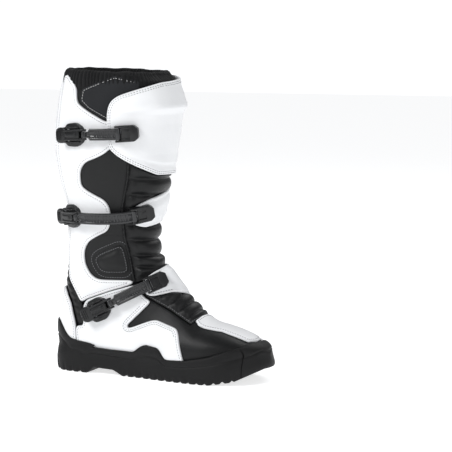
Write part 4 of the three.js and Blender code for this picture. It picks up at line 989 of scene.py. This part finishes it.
CAP_X, CAP_GAP = 240, 0.6


def cut_of(name, keep, node):
    """The sole's columns on one side of the cap's seam, with a flat face closing the cut."""
    columns = np.flatnonzero(keep)
    start = int(np.flatnonzero(np.diff(columns) > 1)[0]) + 1 if (np.diff(columns) > 1).any() else 0
    columns = np.roll(columns, -start)
    grid = sole_grid[:, columns]
    n_rows, n = grid.shape[:2]
    r, c = np.meshgrid(np.arange(n_rows - 1), np.arange(n - 1), indexing="ij")
    faces = np.stack([r * n + c, (r + 1) * n + c, (r + 1) * n + c + 1, r * n + c + 1], -1).reshape(-1, 4)
    first, last = np.arange(n_rows) * n, np.arange(n_rows) * n + n - 1
    for r in range(n_rows - 1):
        faces = np.vstack([faces, [first[r], last[r], last[r + 1], first[r + 1]]])
    make_object(name, grid.reshape(-1, 3), faces, RUBBER, "foot", [node])


cut_of("outsole_rubber", px < CAP_X, "outsole")
cut_of("toe_cap_rubber", px > CAP_X + CAP_GAP, "toe_cap")


# ---- Buckles ----
# Glass-filled nylon: a base riveted to the frame, an over-centre lever that hooks the catch pin, a
# ladder strap and a clasp on the hinged guard. Their places come from the CAD's pins and joints.
def bevelled(points, span, edge):
    """An outline carried between two ends, with its rims rounded by quarter circles. The outline's
    inward way at each point is the mean of its two edges' ways."""
    points = np.asarray(points, float)
    ahead = unit(np.roll(points, -1, axis=0) - points)
    behind = np.roll(ahead, 1, axis=0)
    turn = np.sign(area(points))
    inward = unit(np.stack([-(ahead + behind)[:, 1], (ahead + behind)[:, 0]], 1)) * turn
    low, high = span
    rings = []
    for angle in (0, 30, 60, 90):
        rings.append((edge * (1 - math.sin(math.radians(angle))),
                      low + edge * (1 - math.cos(math.radians(angle)))))
    rings += [(i, low + high - h) for i, h in rings[::-1]]
    count = len(points)
    solid = np.array([np.column_stack([points + inward * i, np.full(count, h)]) for i, h in rings])
    faces = [(r * count + k, r * count + (k + 1) % count, (r + 1) * count + (k + 1) % count,
              (r + 1) * count + k) for r in range(len(rings) - 1) for k in range(count)]
    faces += [tuple(range(count))[::-1], tuple((len(rings) - 1) * count + k for k in range(count))]
    if turn < 0:
        faces = [f[::-1] for f in faces]
    return solid.reshape(-1, 3), faces


class Moulding:
    """Closed bodies gathered into one piece. Each is drawn in a buckle's own frame: along the strap,
    across it and up from the leg."""

    def __init__(self, origin, along, across, up):
        self.origin, self.axes = origin, np.array([along, across, up])
        self.points, self.faces = [], []

    def take(self, local, faces):
        start = sum(len(p) for p in self.points)
        self.points.append(self.origin + local @ self.axes)
        self.faces += [[start + i for i in face] for face in faces]

    def side(self, outline_points, across, edge=0.7, radius=1.4):
        """An outline drawn along and up, as wide as across says."""
        solid, faces = bevelled(rounded(outline_points, radius, True), across, edge)
        self.take(solid[:, [0, 2, 1]], [f[::-1] for f in faces])

    def slab(self, outline_points, up, edge=0.7, radius=1.6):
        """An outline drawn along and across, between two heights."""
        solid, faces = bevelled(rounded(outline_points, radius, True), up, edge)
        self.take(solid, faces)

    def made(self, name, material, body, replaces, slot="buckle"):
        return make_object(name, np.concatenate(self.points), self.faces, material, body, replaces)


def middle_of(node):
    low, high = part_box(node)
    return (np.array(low + high) / 2 - shift) * 1000


joints = {joint["name"]: joint for joint in frame["joints"]}
CATCH_H, LEVER_L, CHEEK_IN, CHEEK_OUT, TOOTH_PITCH = 11, 26, 7.9, 10.1, 3.2
BODIES = {"upper": ("shaft", "shin_guard"), "mid": ("shaft", "mid_wing"), "lower": ("foot", "lower_wing")}
for which, (base_body, clasp_body) in BODIES.items():
    catch, hinge = middle_of(f"{which}_catch_pin"), middle_of(f"{which}_lever_pin")
    along = unit(hinge - catch)
    across = unit(np.array(joints[f"{which}_lever_turn"]["axis"], float))
    up = unit(np.cross(along, across))
    if up[1] > 0:
        across, up = -across, -up
    origin = catch - up * CATCH_H
    base = Moulding(origin, along, across, up)
    base.slab([(-13, -6), (-7, -14.5), (9, -15.5), (19, -9), (20, 0), (19, 9), (9, 15.5), (-7, 14.5),
               (-13, 6)], (-1.4, 6.6), 1.2, 4.0)
    for side in (-1, 1):
        wall = sorted((side * CHEEK_IN, side * CHEEK_OUT))
        base.side([(-13, 3), (-12, 9), (-5, 14), (5, 14.2), (9, 11.5), (14, 10.5), (16, 3)], wall, 0.6, 2.0)
        boss = [(4.1 * math.cos(a), CATCH_H + 4.1 * math.sin(a)) for a in np.linspace(0, 2 * np.pi, 20)[:-1]]
        rib = sorted((side * (CHEEK_OUT - 0.4), side * (CHEEK_OUT + 0.8)))
        base.side(boss, rib, 0.5, 0.3)
    base.made(f"{which}_base_moulding", BUCKLE, base_body, [f"{which}_buckle_base"])

    lever = Moulding(origin, along, across, up)
    top = CATCH_H + 4.4
    for side in (-1, 1):
        arm = sorted((side * 4.4, side * 7.0))
        lever.side([(-15, top - 3.6), (-12, top - 0.6), (0, top + 0.9), (LEVER_L - 5, top),
                    (LEVER_L + 2, top - 0.8), (LEVER_L + 3.8, CATCH_H), (LEVER_L + 2, CATCH_H - 3.4),
                    (LEVER_L - 4, CATCH_H - 3.0), (5, CATCH_H - 0.6), (2.6, CATCH_H + 0.4),
                    (0, CATCH_H + 2.6), (-8, CATCH_H + 1.0)], arm, 0.6, 2.2)
    lever.side([(-14, top - 3.4), (-11, top - 1.4), (2, top - 0.3), (LEVER_L - 7, top - 1.2),
                (LEVER_L - 6, top - 3), (4, top - 3), (-14, top - 5)], (-4.6, 4.6), 0.5, 1.2)
    lever.side([(-4, top - 1), (-1, top + 1.5), (LEVER_L - 12, top + 0.9), (LEVER_L - 9, top - 1.4)],
               (-2.2, 2.2), 0.6, 1.4)
    lever.slab([(-18.5, -4.4), (-16.5, -8.6), (-11, -10.4), (-4, -9.4), (-1, -7), (-1, 7), (-4, 9.4),
                (-11, 10.4), (-16.5, 8.6), (-18.5, 4.4)], (top - 4.4, top + 0.2), 1.4, 3.4)
    for step in range(3):
        groove_x = -16.0 + 2.8 * step
        lever.slab([(groove_x, -6), (groove_x + 1.2, -6), (groove_x + 1.2, 6), (groove_x, 6)],
                   (top - 0.6, top + 0.9), 0.4, 0.5)
    lever.made(f"{which}_lever_moulding", BUCKLE, f"{which}_lever", [f"{which}_lever"])

    front, screw = middle_of(f"{which}_clasp_pin"), middle_of(f"{which}_clasp_screw")
    side_axis = unit(np.array(joints[f"{which}_strap_swing"]["axis"], float))
    side_axis = side_axis * np.sign(side_axis @ across)
    reach = unit(screw - front)
    lift = unit(np.cross(reach, side_axis))
    lean = math.atan2(1.8, 14.1)
    ahead_dir = reach * math.cos(lean) - lift * math.sin(lean)
    rise = unit(np.cross(ahead_dir, side_axis))
    clasp = Moulding(front, ahead_dir, side_axis, rise)
    hexagon = [(4.6, -10.3), (21, -10.3), (26.4, -6), (26.4, 6), (21, 10.3), (4.6, 10.3)]
    clasp.slab(hexagon, (-6.5, 1.4), 0.9, 1.6)
    for side in (-1, 1):
        rail = sorted((side * 5.6, side * 10.3))
        clasp.slab([(4.6, rail[0]), (17, rail[0]), (17, rail[1]), (4.6, rail[1])], (0, 2.8), 0.7, 0.8)
        ear = sorted((side * 7.9, side * 10.4))
        clasp.side([(-4, -6), (-4, 1.6), (-2, 3.6), (4, 3.6), (12, 2.4), (12, -6)], ear, 0.6, 1.6)
    clasp.slab([(15.5, -10.3), (21, -10.3), (26.4, -6), (26.4, 6), (21, 10.3), (15.5, 10.3)], (0, 2.9),
               0.9, 1.2)
    clasp.made(f"{which}_clasp_moulding", BUCKLE, clasp_body, [f"{which}_clasp"])

    gap = front - hinge
    span = np.linalg.norm(gap)
    t = np.linspace(0, 1, 90)[:, None]
    a, d = hinge, front
    b, c = a + along * span / 3, d - ahead_dir * span / 3
    centre = a * (1 - t)**3 + 3 * b * t * (1 - t)**2 + 3 * c * t**2 * (1 - t) + d * t**3
    tangent = unit(np.gradient(centre, axis=0))
    wide = unit(across * (1 - t) + side_axis * t)
    normal = unit(np.cross(tangent, wide))
    run = np.linspace(0, span, 90)
    teeth = 0.9 * (np.sin(run * 2 * np.pi / TOOTH_PITCH) > 0) * (run > 14) * (run < span - 6)
    section = np.array([(-7.2, -1.4), (-7.4, 0.9), (-6.9, 1.6), (-4.6, 1.6), (-4.1, 1.1), (-3.9, 0.2),
                        (3.9, 0.2), (4.1, 1.1), (4.6, 1.6), (6.9, 1.6), (7.4, 0.9), (7.2, -1.4)])
    narrow = 0.54 + 0.46 * swell(run, 7.0, 9.5)
    strap_points = []
    for k, (w, h) in enumerate(section):
        raised = teeth if k in (5, 6) else np.zeros(len(run))
        strap_points.append(centre + wide * (w * narrow)[:, None] + normal * (h + raised)[:, None])
    strap_grid = np.array(strap_points).transpose(1, 0, 2)
    n, m = strap_grid.shape[:2]
    strap = Moulding(np.zeros(3), *np.eye(3))
    faces = [(r * m + k, (r + 1) * m + k, (r + 1) * m + (k + 1) % m, r * m + (k + 1) % m)
             for r in range(n - 1) for k in range(m)]
    faces += [tuple(range(m)), tuple((n - 1) * m + k for k in range(m))[::-1]]
    strap.take(strap_grid.reshape(-1, 3), faces)
    eye = [(3.5 * math.cos(v), 3.5 * math.sin(v)) for v in np.linspace(0, 2 * np.pi, 24)[:-1]]
    for place, axes, half in ((hinge, (along, across, up), 3.9), (front, (ahead_dir, side_axis, rise), 7.2)):
        strap.origin, strap.axes = place, np.array(axes)
        strap.side(eye, (-half, half), 0.5, 0.2)
    strap.made(f"{which}_strap_ladder", STRAP, f"{which}_strap", [f"{which}_strap"])

# ---- Pins, screws and inner boards ----
# Pins and the shank in steel, screws in buckle plastic, the lasting board and the footbed keep their CAD
# shapes.
steel = Finish("steel")
scratches = steel.noise(700, 3)
steel.set(Base_Color=steel.fade((0.42, 0.43, 0.44), (0.62, 0.63, 0.64), scratches), Metallic=1.0,
          Roughness=scratches * 0.25 + 0.2)
board = Finish("fibre board")
flecks = board.noise(500, 4)
board.set(Base_Color=board.fade((0.22, 0.17, 0.11), (0.36, 0.29, 0.20), flecks), Roughness=0.85)
kept = {"shank": steel.material, "lasting_board": board.material, "footbed": LINING}
for name, node in frame["nodes"].items():
    if name.endswith("_pin"):
        kept[name] = steel.material
    if name.endswith("_screw"):
        kept[name] = BUCKLE
    if name in kept:
        node.data.materials.clear()
        node.data.materials.append(kept[name])
